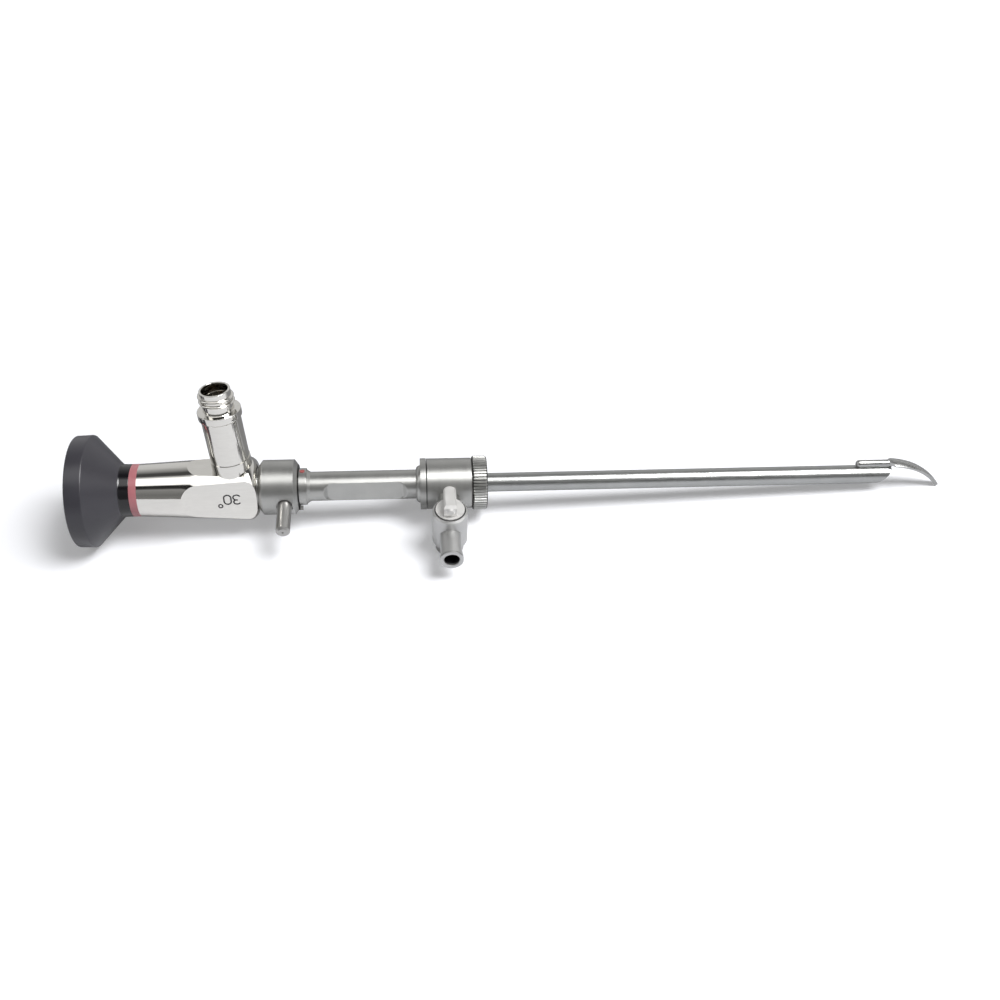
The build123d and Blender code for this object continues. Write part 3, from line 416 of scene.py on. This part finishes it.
def knurled_steel():
    """Straight knurled stainless steel: ridges and faces rubbed bright, grooves dark with grease and painted
    shade.
    """
    made, tree, shader, own = new_metal("knurled stainless steel")
    radius = from_axis(tree, own)
    ridges = between(tree, radius, *((NUT_RADIUS - depth) * MM for depth in KNURL_RIDGES))
    faces = between(tree, radius, *((NUT_RADIUS - depth) * MM for depth in KNURL_FACES), 1.0, 0.0)
    height = reckoned(tree, "MAXIMUM", ridges, faces)
    wear_and_groove_shade = product(tree, height, spread(tree, grain(tree, own, 1.2, 3.0), 0.82, 1.0))
    # Painted shade with grease: the grooves are dark, and the ridges and faces bright with wear.
    tree.links.new(tinted(tree, wear_and_groove_shade, "#2e2e2d", "#bcbcb9"), shader.inputs["Base Color"])
    tree.links.new(between(tree, height, 0.0, 1.0, 0.6, 0.3), shader.inputs["Roughness"])
    return made


def optical_glass():
    """Polished optical glass with a faint cool coating."""
    made, _, shader, _ = new_material("polished optical glass")
    shader.inputs["Base Color"].default_value = linear("#dfe8ee")
    shader.inputs["Roughness"].default_value = 0.02
    shader.inputs["IOR"].default_value = 1.52
    shader.inputs["Transmission Weight"].default_value = 1.0
    return made


def potted_fibre():
    """Potted and polished fibre ends: near black amber under a gloss."""
    made, tree, shader, own = new_material("potted fibre ends")
    fibre = {"Vector": own, "Scale": 1 / (0.12 * MM)}
    cells = add_node(tree, "ShaderNodeTexVoronoi", fibre).outputs["Distance"]
    tree.links.new(tinted(tree, cells, "#3a2c1c", "#14110e"), shader.inputs["Base Color"])
    shader.inputs["Roughness"].default_value = 0.2
    return made


def black_anodised():
    """Black anodised aluminium: deep and matt, so that no stray light returns."""
    made, tree, shader, own = new_material("black anodised aluminium")
    cloud = grain(tree, own, 1.0)
    tree.links.new(tinted(tree, cloud, "#101012", "#18181a"), shader.inputs["Base Color"])
    shader.inputs["Roughness"].default_value = 0.6
    return made


def seal_rubber():
    """Moulded fluorocarbon rubber: black and matt."""
    made, tree, shader, own = new_material("moulded seal rubber")
    cloud = grain(tree, own, 0.5)
    tree.links.new(tinted(tree, cloud, "#141414", "#1e1e1e"), shader.inputs["Base Color"])
    shader.inputs["Roughness"].default_value = 0.7
    return made


def red_enamel():
    """Stoved enamel in a drilled dot: brick red, slightly domed and glossy."""
    made, tree, shader, own = new_material("stoved red enamel")
    cloud = grain(tree, own, 0.6)
    tree.links.new(tinted(tree, cloud, "#8c3a3a", "#a05452"), shader.inputs["Base Color"])
    shader.inputs["Roughness"].default_value = 0.3
    return made


def mark_ink():
    """Annealed laser mark: a flat blue black."""
    made, tree, shader, own = new_material("annealed laser mark")
    cloud = grain(tree, own, 0.3)
    tree.links.new(tinted(tree, cloud, "#141417", "#232327"), shader.inputs["Base Color"])
    shader.inputs["Roughness"].default_value = 0.55
    return made


def dress(material, *nodes):
    """Give solids their finish."""
    for name in nodes:
        mesh = NODES[name].data
        mesh.materials.clear()
        mesh.materials.append(material)


# Pieces

def new_piece(name, body, bm, material):
    """A finished mesh piece that rides on a body."""
    bmesh.ops.remove_doubles(bm, verts=bm.verts, dist=1e-7)
    bmesh.ops.recalc_face_normals(bm, faces=bm.faces)
    mesh = bpy.data.meshes.new(name)
    bm.to_mesh(mesh)
    bm.free()
    mesh.materials.append(material)
    smoothed(mesh)
    return fitted(name, body, mesh)


def fitted(name, body, mesh):
    """A mesh as a piece that rides on a body."""
    made = bpy.data.objects.new(name, mesh)
    bpy.context.scene.collection.objects.link(made)
    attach(made, body)
    return made


def smoothed(mesh, limit=32.0):
    """Shade a mesh smooth between its edges."""
    for face in mesh.polygons:
        face.use_smooth = True
    mesh.set_sharp_from_angle(angle=math.radians(limit))


def rounded(corners):
    """An outline in which a corner (x, y, radius) becomes a short arc."""
    points = []
    count = len(corners)
    for i, (x, y, radius) in enumerate(corners):
        if not radius:
            points.append((x, y))
            continue
        here = Vector((x, y))
        before = (Vector(corners[i - 1][:2]) - here).normalized()
        after = (Vector(corners[(i + 1) % count][:2]) - here).normalized()
        half = before.angle(after) / 2
        centre = here + (before + after).normalized() * (radius / math.sin(half))
        first = here + before * (radius / math.tan(half)) - centre
        last = here + after * (radius / math.tan(half)) - centre
        turn = first.angle_signed(last)
        steps = max(3, math.ceil(abs(turn) / ROUNDING_STEP))
        for k in range(steps + 1):
            points.append(tuple(centre + Matrix.Rotation(-turn * k / steps, 2) @ first))
    return points


def turned(bm, outline, place, steps):
    """Spin a closed outline of (distance, radius) points, in millimetres, about a place's z axis."""
    rings = []
    for k in range(steps):
        turn = 2 * math.pi * k / steps
        rings.append([bm.verts.new(place @ Vector((r * math.cos(turn) * MM, r * math.sin(turn) * MM, d * MM)))
                      for d, r in outline])
    for k, ring in enumerate(rings):
        following = rings[(k + 1) % steps]
        for i in range(len(outline)):
            bm.faces.new((ring[i - 1], ring[i], following[i], following[i - 1]))


def new_tree(name, sockets):
    """A geometry tree with named inputs, and its input node's outputs."""
    tree = bpy.data.node_groups.new(name, "GeometryNodeTree")
    tree.interface.new_socket("Geometry", in_out="OUTPUT", socket_type="NodeSocketGeometry")
    for label, kind in sockets:
        tree.interface.new_socket(label, in_out="INPUT", socket_type="NodeSocket" + kind)
    return tree, add_node(tree, "NodeGroupInput").outputs


def ended(tree, geometry, given):
    """Close a tree with its finish."""
    real = add_node(tree, "GeometryNodeRealizeInstances", {0: geometry}).outputs[0]
    dressed = add_node(tree, "GeometryNodeSetMaterial", {"Geometry": real, "Material": given["Finish"]})
    add_node(tree, "NodeGroupOutput", {0: dressed.outputs[0]})


def grown(tree, values):
    """The plain mesh that a tree makes of its values."""
    seed = bpy.data.objects.new(tree.name, bpy.data.meshes.new(tree.name))
    bpy.context.scene.collection.objects.link(seed)
    modifier = seed.modifiers.new(tree.name, "NODES")
    modifier.node_group = tree
    for socket in tree.interface.items_tree:
        if socket.in_out == "INPUT":
            modifier[socket.identifier] = values[socket.name]
    live = seed.evaluated_get(bpy.context.evaluated_depsgraph_get())
    mesh = bpy.data.meshes.new_from_object(live)
    seed.modifiers.remove(modifier)
    bpy.data.objects.remove(seed)
    return mesh


def knurl_tree():
    """A straight knurled nut: a zigzag ring, pushed up in steps and turned down to its rounded lands."""
    tree, given = new_tree("straight knurling", (
        ("Ridges", "Int"), ("Radius", "Float"), ("Groove", "Float"), ("Land share", "Float"),
        ("Bore", "Float"), ("Length", "Float"), ("Chamfer", "Float"), ("Finish", "Material")))
    sums = partial(reckoned, tree)
    root = sums("SUBTRACT", given["Radius"], given["Groove"])
    tip = sums("ADD", root, sums("DIVIDE", given["Groove"], given["Land share"]))
    zigzag = add_node(tree, "GeometryNodeCurveStar", {
        "Points": given["Ridges"], "Inner Radius": root, "Outer Radius": tip}).outputs["Curve"]
    fine = add_node(tree, "GeometryNodeSubdivideCurve", {"Curve": zigzag, "Cuts": 5}).outputs[0]
    hole = add_node(tree, "GeometryNodeCurvePrimitiveCircle", {
        "Resolution": 96, "Radius": given["Bore"]}).outputs[0]
    both = add_node(tree, "GeometryNodeJoinGeometry")
    tree.links.new(fine, both.inputs[0])
    tree.links.new(hole, both.inputs[0])
    face = add_node(tree, "GeometryNodeFillCurve", {0: both.outputs[0]}).outputs[0]
    middle = sums("SUBTRACT", given["Length"], sums("MULTIPLY", given["Chamfer"], 2.0))
    solid, top = face, None
    for rise in (given["Chamfer"], middle, given["Chamfer"]):
        up = add_node(tree, "ShaderNodeCombineXYZ", {"Z": rise}).outputs[0]
        pushed = add_node(tree, "GeometryNodeExtrudeMesh", {
            "Mesh": solid, "Offset": up, "Offset Scale": 1.0, "Individual": False})
        if top is not None:
            tree.links.new(top, pushed.inputs["Selection"])
        solid, top = pushed.outputs["Mesh"], pushed.outputs["Top"]
    under = add_node(tree, "GeometryNodeFlipFaces", {0: face}).outputs[0]
    shut = add_node(tree, "GeometryNodeJoinGeometry")
    tree.links.new(solid, shut.inputs[0])
    tree.links.new(under, shut.inputs[0])
    shut = add_node(tree, "GeometryNodeMergeByDistance", {
        "Geometry": shut.outputs[0], "Distance": 1e-7}).outputs[0]
    spot = add_node(tree, "GeometryNodeInputPosition").outputs[0]
    parts = add_node(tree, "ShaderNodeSeparateXYZ", {0: spot}).outputs
    flat = add_node(tree, "ShaderNodeCombineXYZ", {"X": parts["X"], "Y": parts["Y"]}).outputs[0]
    radius = length_of(tree, flat)
    low = sums("MAXIMUM", sums("SUBTRACT", given["Chamfer"], parts["Z"]), 0.0)
    shoulder = sums("SUBTRACT", given["Length"], given["Chamfer"])
    high = sums("MAXIMUM", sums("SUBTRACT", parts["Z"], shoulder), 0.0)
    limit = sums("SUBTRACT", given["Radius"], sums("ADD", low, high))
    share = sums("MINIMUM", sums("DIVIDE", limit, radius), 1.0)
    cut = add_node(tree, "ShaderNodeVectorMath", {0: flat, "Scale": share}, operation="SCALE").outputs[0]
    lifted = add_node(tree, "ShaderNodeCombineXYZ", {"Z": parts["Z"]}).outputs[0]
    spot = add_node(tree, "ShaderNodeVectorMath", {0: cut, 1: lifted}, operation="ADD").outputs[0]
    lathed = add_node(tree, "GeometryNodeSetPosition", {"Geometry": shut, "Position": spot}).outputs[0]
    ended(tree, lathed, given)
    return tree


def thread_tree():
    """A rounded thread that winds up a neck and fades out at both ends."""
    tree, given = new_tree("helical thread", (
        ("Turns", "Float"), ("Radius", "Float"), ("Height", "Float"), ("Depth", "Float"), ("Width", "Float"),
        ("Finish", "Material")))
    sums = partial(reckoned, tree)
    helix = add_node(tree, "GeometryNodeCurveSpiral", {
        "Resolution": 72, "Rotations": given["Turns"], "Start Radius": given["Radius"],
        "End Radius": given["Radius"], "Height": given["Height"]}).outputs[0]
    steady = add_node(tree, "GeometryNodeSetCurveNormal", {0: helix}, mode="Z_UP").outputs[0]
    share = add_node(tree, "GeometryNodeSplineParameter").outputs["Factor"]
    steepness, thinnest = 12.0, 0.05
    rising = sums("MULTIPLY", share, steepness)
    falling = sums("MULTIPLY", sums("SUBTRACT", 1.0, share), steepness)
    fade = sums("MINIMUM", rising, falling)
    fade = sums("MAXIMUM", sums("MINIMUM", fade, 1.0), thinnest)
    ridge = add_node(tree, "GeometryNodeCurvePrimitiveCircle", {"Resolution": 14, "Radius": 1.0}).outputs[0]
    shape = add_node(tree, "ShaderNodeCombineXYZ", {
        "X": given["Depth"], "Y": given["Width"], "Z": 1.0}).outputs[0]
    ridge = add_node(tree, "GeometryNodeTransform", {"Geometry": ridge, "Scale": shape}).outputs[0]
    wound = add_node(tree, "GeometryNodeCurveToMesh", {
        "Curve": steady, "Profile Curve": ridge, "Fill Caps": True})
    tree.links.new(fade, wound.inputs["Scale"])
    ended(tree, wound.outputs[0], given)
    return tree


def arc(centre, radius, start, end, steps, squeeze=1.0):
    """Points of a flat arc, in degrees."""
    angles = [math.radians(start + (end - start) * i / steps) for i in range(steps + 1)]
    return [(centre[0] + radius * squeeze * math.cos(a), centre[1] + radius * math.sin(a)) for a in angles]


def stroke(bm, points, width, lift, place, closed=False):
    """A raised flat line of one width through points, placed by a function of (across, up, out)."""
    count = len(points)
    left, right = [], []
    for i, (x, y) in enumerate(points):
        before = points[(i - 1) % count] if closed or i else points[i]
        after = points[(i + 1) % count] if closed or i < count - 1 else points[i]
        heading = Vector((after[0] - before[0], after[1] - before[1])).normalized()
        side = Vector((-heading.y, heading.x)) * (width / 2)
        left.append((x + side.x, y + side.y))
        right.append((x - side.x, y - side.y))
    rows = []
    for out in (0.0, lift):
        rows.append([bm.verts.new(place(x, y, out)) for x, y in left])
        rows.append([bm.verts.new(place(x, y, out)) for x, y in right])
    low_left, low_right, top_left, top_right = rows
    steps = range(count if closed else count - 1)
    for i in steps:
        k = (i + 1) % count
        bm.faces.new((top_left[i], top_left[k], top_right[k], top_right[i]))
        bm.faces.new((low_left[i], low_right[i], low_right[k], low_left[k]))
        bm.faces.new((low_left[i], low_left[k], top_left[k], top_left[i]))
        bm.faces.new((low_right[i], top_right[i], top_right[k], low_right[k]))
    if not closed:
        for i in (0, count - 1):
            bm.faces.new((low_left[i], top_left[i], top_right[i], low_right[i]))


class EndoscopeMark(bpy.types.PropertyGroup):
    height: FloatProperty(name="Height", description="Height of the angle mark's digits", default=0.0035,
                          unit="LENGTH", precision=4)
    width: FloatProperty(name="Width", description="Width of one digit", default=0.0024,
                         unit="LENGTH", precision=4)
    line: FloatProperty(name="Line", description="Width of the digits' strokes", default=0.00042,
                        unit="LENGTH", precision=5)
    station: FloatProperty(name="Station", description="Middle of the digits along the instrument",
                           default=0.04344, unit="LENGTH", precision=4)


class EndoscopeSizes(bpy.types.PropertyGroup):
    ridges: IntProperty(name="Ridges", description="Ridges round the retaining nut", default=54,
                        min=12, max=90)
    groove: FloatProperty(name="Groove", description="Depth of the nut's grooves", default=0.00034,
                          unit="LENGTH", precision=5)
    nut_length: FloatProperty(name="Nut length", description="Length of the retaining nut", default=0.0042,
                              unit="LENGTH", precision=4)
    thread_pitch: FloatProperty(name="Thread pitch",
                                description="Rise of the light connector's thread in one turn",
                                default=0.0015, unit="LENGTH", precision=4)
    thread_turns: FloatProperty(name="Thread turns", description="Turns of the light connector's thread",
                                default=2.2)
    rim_rounding: FloatProperty(name="Rim rounding", description="Radius of the eyecup's front edge",
                                default=0.0006, unit="LENGTH", precision=4)


class EndoscopeStudio(bpy.types.PropertyGroup):
    key_power: FloatProperty(name="Key power", description="Radiant power of the overhead softbox",
                             default=20.0, unit="POWER")
    key_size: FloatProperty(name="Key size", description="Side of the overhead softbox", default=0.62,
                            unit="LENGTH")
    key_distance: FloatProperty(name="Key distance", description="How far the softbox hangs from the object",
                                default=1.3, unit="LENGTH")
    fill: FloatProperty(name="Fill", description="Strength of the room's own light on matt surfaces",
                        default=0.26)
    lens: FloatProperty(name="Lens", description="Focal length on a 36 mm sensor", default=39.87)
    floor_glow: FloatProperty(name="Floor glow",
                              description="Light that the camera sees from the floor itself", default=0.26)
    far_glow: FloatProperty(name="Far glow",
                            description="The floor's own light far off, where the softbox fades", default=1.0)
    mirror_share: FloatProperty(name="Mirror share",
                                description="Part of the floor glow that reflections see", default=0.4)
    back_shade: FloatProperty(name="Back shade",
                              description="How dark reflections see the sheet behind the object", default=0.8)


class ENDOSCOPE_OT_eyepiece(bpy.types.Operator):
    """Finish the eyecup and the colour ring"""

    bl_idname = "endoscope.eyepiece"
    bl_label = "Eyepiece"

    def execute(self, context):
        sizes = context.scene.endoscope_sizes
        start, end = CUP_NECK
        # Station, radius and rounding: over the rim, down the cone and neck, and back through bore and dish
        outline = rounded((
            (0.0, 13.85, 0.4), (0.0, 15.8, sizes.rim_rounding / MM), (4.65, 15.98, 0.55),
            (start, 7.55, 1.2), (end, 7.48, 0.2), (end, 5.62, 0.0), (8.32, 5.62, 0.0), (8.32, 3.9, 0.0),
            (7.6, 3.9, 0.0), (7.6, 4.62, 0.0), (6.0, 4.62, 0.15), (6.0, 6.0, 0.0)))
        bm = bmesh.new()
        turned(bm, outline, on_axis(at(0), ALONG), steps=144)
        plastic = eyecup_plastic()
        dress(plastic, "eyepiece_cup")
        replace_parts(new_piece("eyecup", "instrument", bm, plastic), "eyepiece_cup")
        dress(ring_enamel(), "colour_ring")
        return {"FINISHED"}


class ENDOSCOPE_OT_telescope(bpy.types.Operator):
    """Finish the telescope's polished body and its light post"""

    bl_idname = "endoscope.telescope"
    bl_label = "Telescope"

    def execute(self, context):
        steel = polished_steel()
        dress(steel, "telescope_body", "light_post_base", "light_post_sleeve", "light_guide_connector")
        self.make_connector(context.scene.endoscope_sizes, steel)
        dress(potted_fibre(), "light_ferrule", "fibre_bundle", "light_fibres")
        return {"FINISHED"}

    def make_connector(self, sizes, steel):
        """The light guide's connector: a bevelled collar, a plain neck, a thread and a thin lip."""
        base, top = CONNECTOR_BASE, CONNECTOR_TOP
        bevel = 0.5
        shoulder = base + COLLAR_HEIGHT
        floor = top - SOCKET_DEPTH
        seat = floor - FERRULE_DEPTH
        outline = rounded((
            (base, BUNDLE_RADIUS, 0.0), (base, COLLAR_RADIUS - bevel, 0.0),
            (base + bevel, COLLAR_RADIUS, 0.15), (shoulder, COLLAR_RADIUS, 0.18),
            (shoulder, CONNECTOR_RADIUS, 0.25), (top, CONNECTOR_RADIUS, 0.15),
            (top, SOCKET_RADIUS, 0.1), (floor, SOCKET_RADIUS, 0.0),
            (floor, FERRULE_RADIUS, 0.0), (seat, FERRULE_RADIUS, 0.0), (seat, BUNDLE_RADIUS, 0.0)))
        bm = bmesh.new()
        place = on_axis(at(POST_STATION), POST_WAY)
        turned(bm, outline, place, steps=128)
        rise = sizes.thread_pitch * sizes.thread_turns
        thread = grown(thread_tree(), {
            "Turns": sizes.thread_turns, "Radius": CONNECTOR_RADIUS * MM, "Height": rise, "Depth": 0.00062,
            "Width": 0.0004, "Finish": steel})
        thread.transform(place @ Matrix.Translation((0, 0, (top - THREAD_INSET) * MM - rise)))
        bm.from_mesh(thread)
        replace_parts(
            new_piece("threaded_connector", "instrument", bm, steel),
            "light_guide_connector")


class ENDOSCOPE_OT_optics(bpy.types.Operator):
    """Finish the optics inside the telescope"""

    bl_idname = "endoscope.optics"
    bl_label = "Optics"

    def execute(self, context):
        glasses = ("eyepiece_window", "ocular_lens", "rod_lenses", "objective_prism", "distal_window")
        dress(optical_glass(), *glasses)
        dress(black_anodised(), "ocular_mount", "lens_spacers")
        dress(drawn_tube(), "telescope_shaft", "optics_tube")
        return {"FINISHED"}


class ENDOSCOPE_OT_sheath(bpy.types.Operator):
    """Finish the sheath with its lock ring, hub barrel, tube and spatula"""

    bl_idname = "endoscope.sheath"
    bl_label = "Sheath"

    def execute(self, context):
        sizes = context.scene.endoscope_sizes
        satin = turned_steel()
        dress(satin, "lock_retainer", "lock_collar", "sheath_neck", "hub_barrel")
        knurled = knurled_steel()
        dress(knurled, "knurled_nut")
        nut = grown(knurl_tree(), {
            "Ridges": sizes.ridges, "Radius": NUT_RADIUS * MM, "Groove": sizes.groove, "Land share": 0.5,
            "Bore": NUT_BORE * MM, "Length": sizes.nut_length, "Chamfer": 0.0004, "Finish": knurled})
        nut.transform(on_axis(at(NUT_START), ALONG))
        smoothed(nut, 24.0)
        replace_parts(fitted("retaining_nut", "instrument", nut), "knurled_nut")
        self.make_runouts(satin)
        dress(drawn_tube(), "sheath_tube")
        dress(brushed_blade(), "spatula")
        dress(bright_turned_steel(), "lever_pin")
        dress(seal_rubber(), "scope_seal", "hub_seals")
        dress(red_enamel(), "index_dot")
        return {"FINISHED"}

    def make_runouts(self, satin):
        """The ends of the grip's two flats, where the cutter left rounded corners and a slope."""
        steps, rows, corner, proud = 240, 28, RUNOUT_CORNER, RUNOUT_PROUD
        half = math.sqrt(GRIP_RADIUS ** 2 - GRIP_FLAT ** 2)
        bm = bmesh.new()
        for start, inward in zip(GRIP_FLATS, (1, -1)):
            rings = []
            for row in range(rows + 1):
                inside = RUNOUT_OUT + (RUNOUT_IN - RUNOUT_OUT) * row / rows
                ring = []
                for k in range(steps):
                    turn = 2 * math.pi * k / steps
                    y, z = ((GRIP_RADIUS + proud) * part for part in (math.cos(turn), math.sin(turn)))
                    outside = math.hypot(max(corner - inside, 0.0), max(abs(z) - half + corner, 0.0)) - corner
                    y = math.copysign(min(abs(y), GRIP_FLAT + proud + max(outside, 0.0)), y)
                    ring.append(bm.verts.new(at(start + inward * inside, y, z)))
                rings.append(ring)
            for inside in (RUNOUT_IN, RUNOUT_OUT):
                turns = (2 * math.pi * k / steps for k in range(steps))
                rings.append([
                    bm.verts.new(at(
                        start + inward * inside, RUNOUT_CORE * math.cos(turn), RUNOUT_CORE * math.sin(turn)))
                    for turn in turns])
            for i, ring in enumerate(rings):
                following = rings[(i + 1) % len(rings)]
                for k in range(steps):
                    bm.faces.new((ring[k - 1], ring[k], following[k], following[k - 1]))
        new_piece("grip_flat_ends", "instrument", bm, satin)


class ENDOSCOPE_OT_stopcock(bpy.types.Operator):
    """Finish the stopcock, its socket and its tap"""

    bl_idname = "endoscope.stopcock"
    bl_label = "Stopcock"

    def execute(self, context):
        dress(blasted_steel(), "stopcock_body", "luer_connector")
        dress(tumbled_steel(), "tap_plug", "tap_lever")
        dress(bright_turned_steel(), "tap_washer", "tap_nut")
        return {"FINISHED"}


class ENDOSCOPE_OT_mark(bpy.types.Operator):
    """Draw the view angle, 30 degrees, on the body's flat"""

    bl_idname = "endoscope.mark"
    bl_label = "Angle mark"

    def execute(self, context):
        sizes = context.scene.endoscope_mark
        tall, wide, line = (value / MM for value in (sizes.height, sizes.width, sizes.line))
        middle = sizes.station / MM
        reach_up, reach_side = (tall - line) / 2, (wide - line) / 2
        lift, pitch, rise = 0.02, 2.58, 0.45
        ring_radius, ring_height, ring_gap = 0.55, 2.15, 2.1

        def place(shift):
            """The digits read upside down when the post points up."""
            return lambda x, y, out: at(middle - shift - x, -SIDE_FLAT - out, rise - y)

        bm = bmesh.new()
        upper, lower = reach_up * 0.46, reach_up * 0.54
        waist = reach_up - 2 * upper
        three = arc((0, reach_up - upper), upper, 160, -62, 16, reach_side / upper * 0.92)
        three += arc((0, lower - reach_up), lower, 68, -160, 18, reach_side / lower)
        stroke(bm, three, line, lift, place(-pitch / 2))
        tang = [(-reach_side * 0.25, waist), (reach_side * 0.35, waist)]
        stroke(bm, tang, line, lift, place(-pitch / 2))
        side = reach_up - reach_side
        zero = arc((0, side), reach_side, 0, 180, 16) + arc((0, -side), reach_side, 180, 360, 16)
        stroke(bm, zero[:-1], line, lift, place(pitch / 2), closed=True)
        degree = [(x, y + ring_height) for x, y in arc((0, 0), ring_radius, 0, 360, 20)[:-1]]
        stroke(bm, degree, line * 0.9, lift, place(pitch / 2 + ring_gap), closed=True)
        new_piece("angle_mark", "instrument", bm, mark_ink())
        return {"FINISHED"}


class ENDOSCOPE_OT_stage(bpy.types.Operator):
    """Set up the pale floor, the soft light and the camera"""

    bl_idname = "endoscope.stage"
    bl_label = "Studio"

    def execute(self, context):
        studio = context.scene.endoscope_studio
        self.make_floor(studio)
        self.make_light(studio)
        self.make_world(context, studio)
        self.make_camera(context, studio)
        return {"FINISHED"}

    def make_floor(self, studio):
        """A wide white sheet. The camera sees it glow; reflections see less glow and a back half in painted shade.
        """
        bm = bmesh.new()
        bmesh.ops.create_grid(bm, x_segments=8, y_segments=8, size=4.0)
        mesh = bpy.data.meshes.new("floor")
        bm.to_mesh(mesh)
        bm.free()
        sheet = bpy.data.materials.new("white paper sheet")
        sheet.use_nodes = True
        tree = sheet.node_tree
        tree.nodes.clear()
        path = add_node(tree, "ShaderNodeLightPath").outputs
        mirrored = reckoned(tree, "MAXIMUM", path["Is Glossy Ray"], path["Is Transmission Ray"])
        seen = reckoned(tree, "MAXIMUM", path["Is Camera Ray"], product(tree, mirrored, studio.mirror_share))
        spot = add_node(tree, "ShaderNodeTexCoord").outputs["Object"]
        away = length_of(tree, spot)
        glow = product(tree, seen, between(tree, away, *GLOW_SPAN, studio.floor_glow, studio.far_glow))
        back = add_node(tree, "ShaderNodeSeparateXYZ", {"Vector": spot}).outputs["Y"]
        # Painted shade for reflections only: they see the sheet behind the object dark.
        shade = product(tree, mirrored, between(tree, back, *SHADE_SPAN, 0.0, studio.back_shade))
        paper = add_node(tree, "ShaderNodeBsdfDiffuse", {"Color": tinted(tree, shade, "#dfe0e4", "#141415")})
        light = add_node(tree, "ShaderNodeEmission", {"Color": (1, 1, 1, 1), "Strength": glow})
        both = add_node(tree, "ShaderNodeAddShader", {0: paper.outputs[0], 1: light.outputs[0]})
        add_node(tree, "ShaderNodeOutputMaterial", {"Surface": both.outputs[0]})
        mesh.materials.append(sheet)
        floor = bpy.data.objects.new("floor", mesh)
        bpy.context.scene.collection.objects.link(floor)

    def make_light(self, studio):
        """One large softbox, above and a little to the front right."""
        heading = Vector(KEY_HEADING).normalized()
        lamp = bpy.data.lights.new("softbox", "AREA")
        lamp.shape = "SQUARE"
        lamp.size = studio.key_size
        lamp.energy = studio.key_power
        holder = bpy.data.objects.new("softbox", lamp)
        holder.location = heading * studio.key_distance
        holder.rotation_euler = heading.to_track_quat("Z", "Y").to_euler()
        bpy.context.scene.collection.objects.link(holder)

    def make_world(self, context, studio):
        """A room that is pale behind and bright overhead, with dark bands between and a dim front."""
        world = bpy.data.worlds.new("studio")
        context.scene.world = world
        world.use_nodes = True
        tree = world.node_tree
        tree.nodes.clear()
        ray = add_node(tree, "ShaderNodeTexCoord").outputs["Generated"]
        parts = add_node(tree, "ShaderNodeSeparateXYZ", {"Vector": ray}).outputs
        turn = reckoned(tree, "ARCTAN2", product(tree, parts["Y"], -1.0), parts["Z"])
        ramp = add_node(tree, "ShaderNodeValToRGB", {"Fac": between(tree, turn, -math.pi / 2, math.pi / 2)})
        stops = ramp.color_ramp.elements
        stops[0].position = ROOM[0][0]
        stops[1].position = ROOM[-1][0]
        for place, _ in ROOM[1:-1]:
            stops.new(place)
        for stop, (_, bright) in zip(stops, ROOM):
            stop.color = (bright, bright, bright, 1)
        path = add_node(tree, "ShaderNodeLightPath").outputs
        level = reckoned(tree, "ADD", product(tree, path["Is Diffuse Ray"], studio.fill - 1.0), 1.0)
        room = add_node(tree, "ShaderNodeBackground", {"Color": ramp.outputs["Color"], "Strength": level})
        white = add_node(tree, "ShaderNodeBackground", {"Color": (1, 1, 1, 1), "Strength": 1.0})
        both = add_node(
            tree, "ShaderNodeMixShader", {0: path["Is Camera Ray"], 1: room.outputs[0], 2: white.outputs[0]}
        )
        add_node(tree, "ShaderNodeOutputWorld", {"Surface": both.outputs[0]})

    def make_camera(self, context, studio):
        """The photograph's view, given in the instrument's own directions."""
        facing = Matrix((way(*CAMERA_RIGHT), way(*CAMERA_UP), way(*CAMERA_BACK))).transposed()
        lens = bpy.data.cameras.new("camera")
        lens.sensor_width = 36.0
        lens.lens = studio.lens
        lens.clip_start = 0.01
        camera = bpy.data.objects.new("camera", lens)
        camera.matrix_world = Matrix.Translation(at(*CAMERA_PLACE)) @ facing.to_4x4()
        context.scene.collection.objects.link(camera)
        context.scene.camera = camera


class ENDOSCOPE_PT_panel(bpy.types.Panel):
    """Lists the endoscope's pieces and its studio"""

    bl_idname = "ENDOSCOPE_PT_panel"
    bl_label = "Endoscope"
    bl_space_type = "VIEW_3D"
    bl_region_type = "UI"
    bl_category = "Endoscope"

    def draw(self, context):
        layout = self.layout
        for step in STEPS:
            layout.operator(step.bl_idname)
        scene = context.scene
        for group in (scene.endoscope_sizes, scene.endoscope_mark, scene.endoscope_studio):
            for name in group.__annotations__:
                layout.prop(group, name)


STEPS = (
    ENDOSCOPE_OT_stage,
    ENDOSCOPE_OT_eyepiece,
    ENDOSCOPE_OT_telescope,
    ENDOSCOPE_OT_optics,
    ENDOSCOPE_OT_sheath,
    ENDOSCOPE_OT_stopcock,
    ENDOSCOPE_OT_mark,
)
GROUPS = (EndoscopeSizes, EndoscopeMark, EndoscopeStudio)
CLASSES = GROUPS + STEPS + (ENDOSCOPE_PT_panel,)


def register():
    for kind in CLASSES:
        bpy.utils.register_class(kind)
    bpy.types.Scene.endoscope_sizes = PointerProperty(type=EndoscopeSizes)
    bpy.types.Scene.endoscope_mark = PointerProperty(type=EndoscopeMark)
    bpy.types.Scene.endoscope_studio = PointerProperty(type=EndoscopeStudio)


def unregister():
    del bpy.types.Scene.endoscope_studio
    del bpy.types.Scene.endoscope_mark
    del bpy.types.Scene.endoscope_sizes
    for kind in reversed(CLASSES):
        bpy.utils.unregister_class(kind)


def main():
    register()
    bpy.context.scene.view_settings.view_transform = "Standard"
    bpy.ops.endoscope.stage()
    bpy.ops.endoscope.eyepiece()
    bpy.ops.endoscope.telescope()
    bpy.ops.endoscope.optics()
    bpy.ops.endoscope.sheath()
    bpy.ops.endoscope.stopcock()
    bpy.ops.endoscope.mark()


if __name__ == "__main__":
    main()
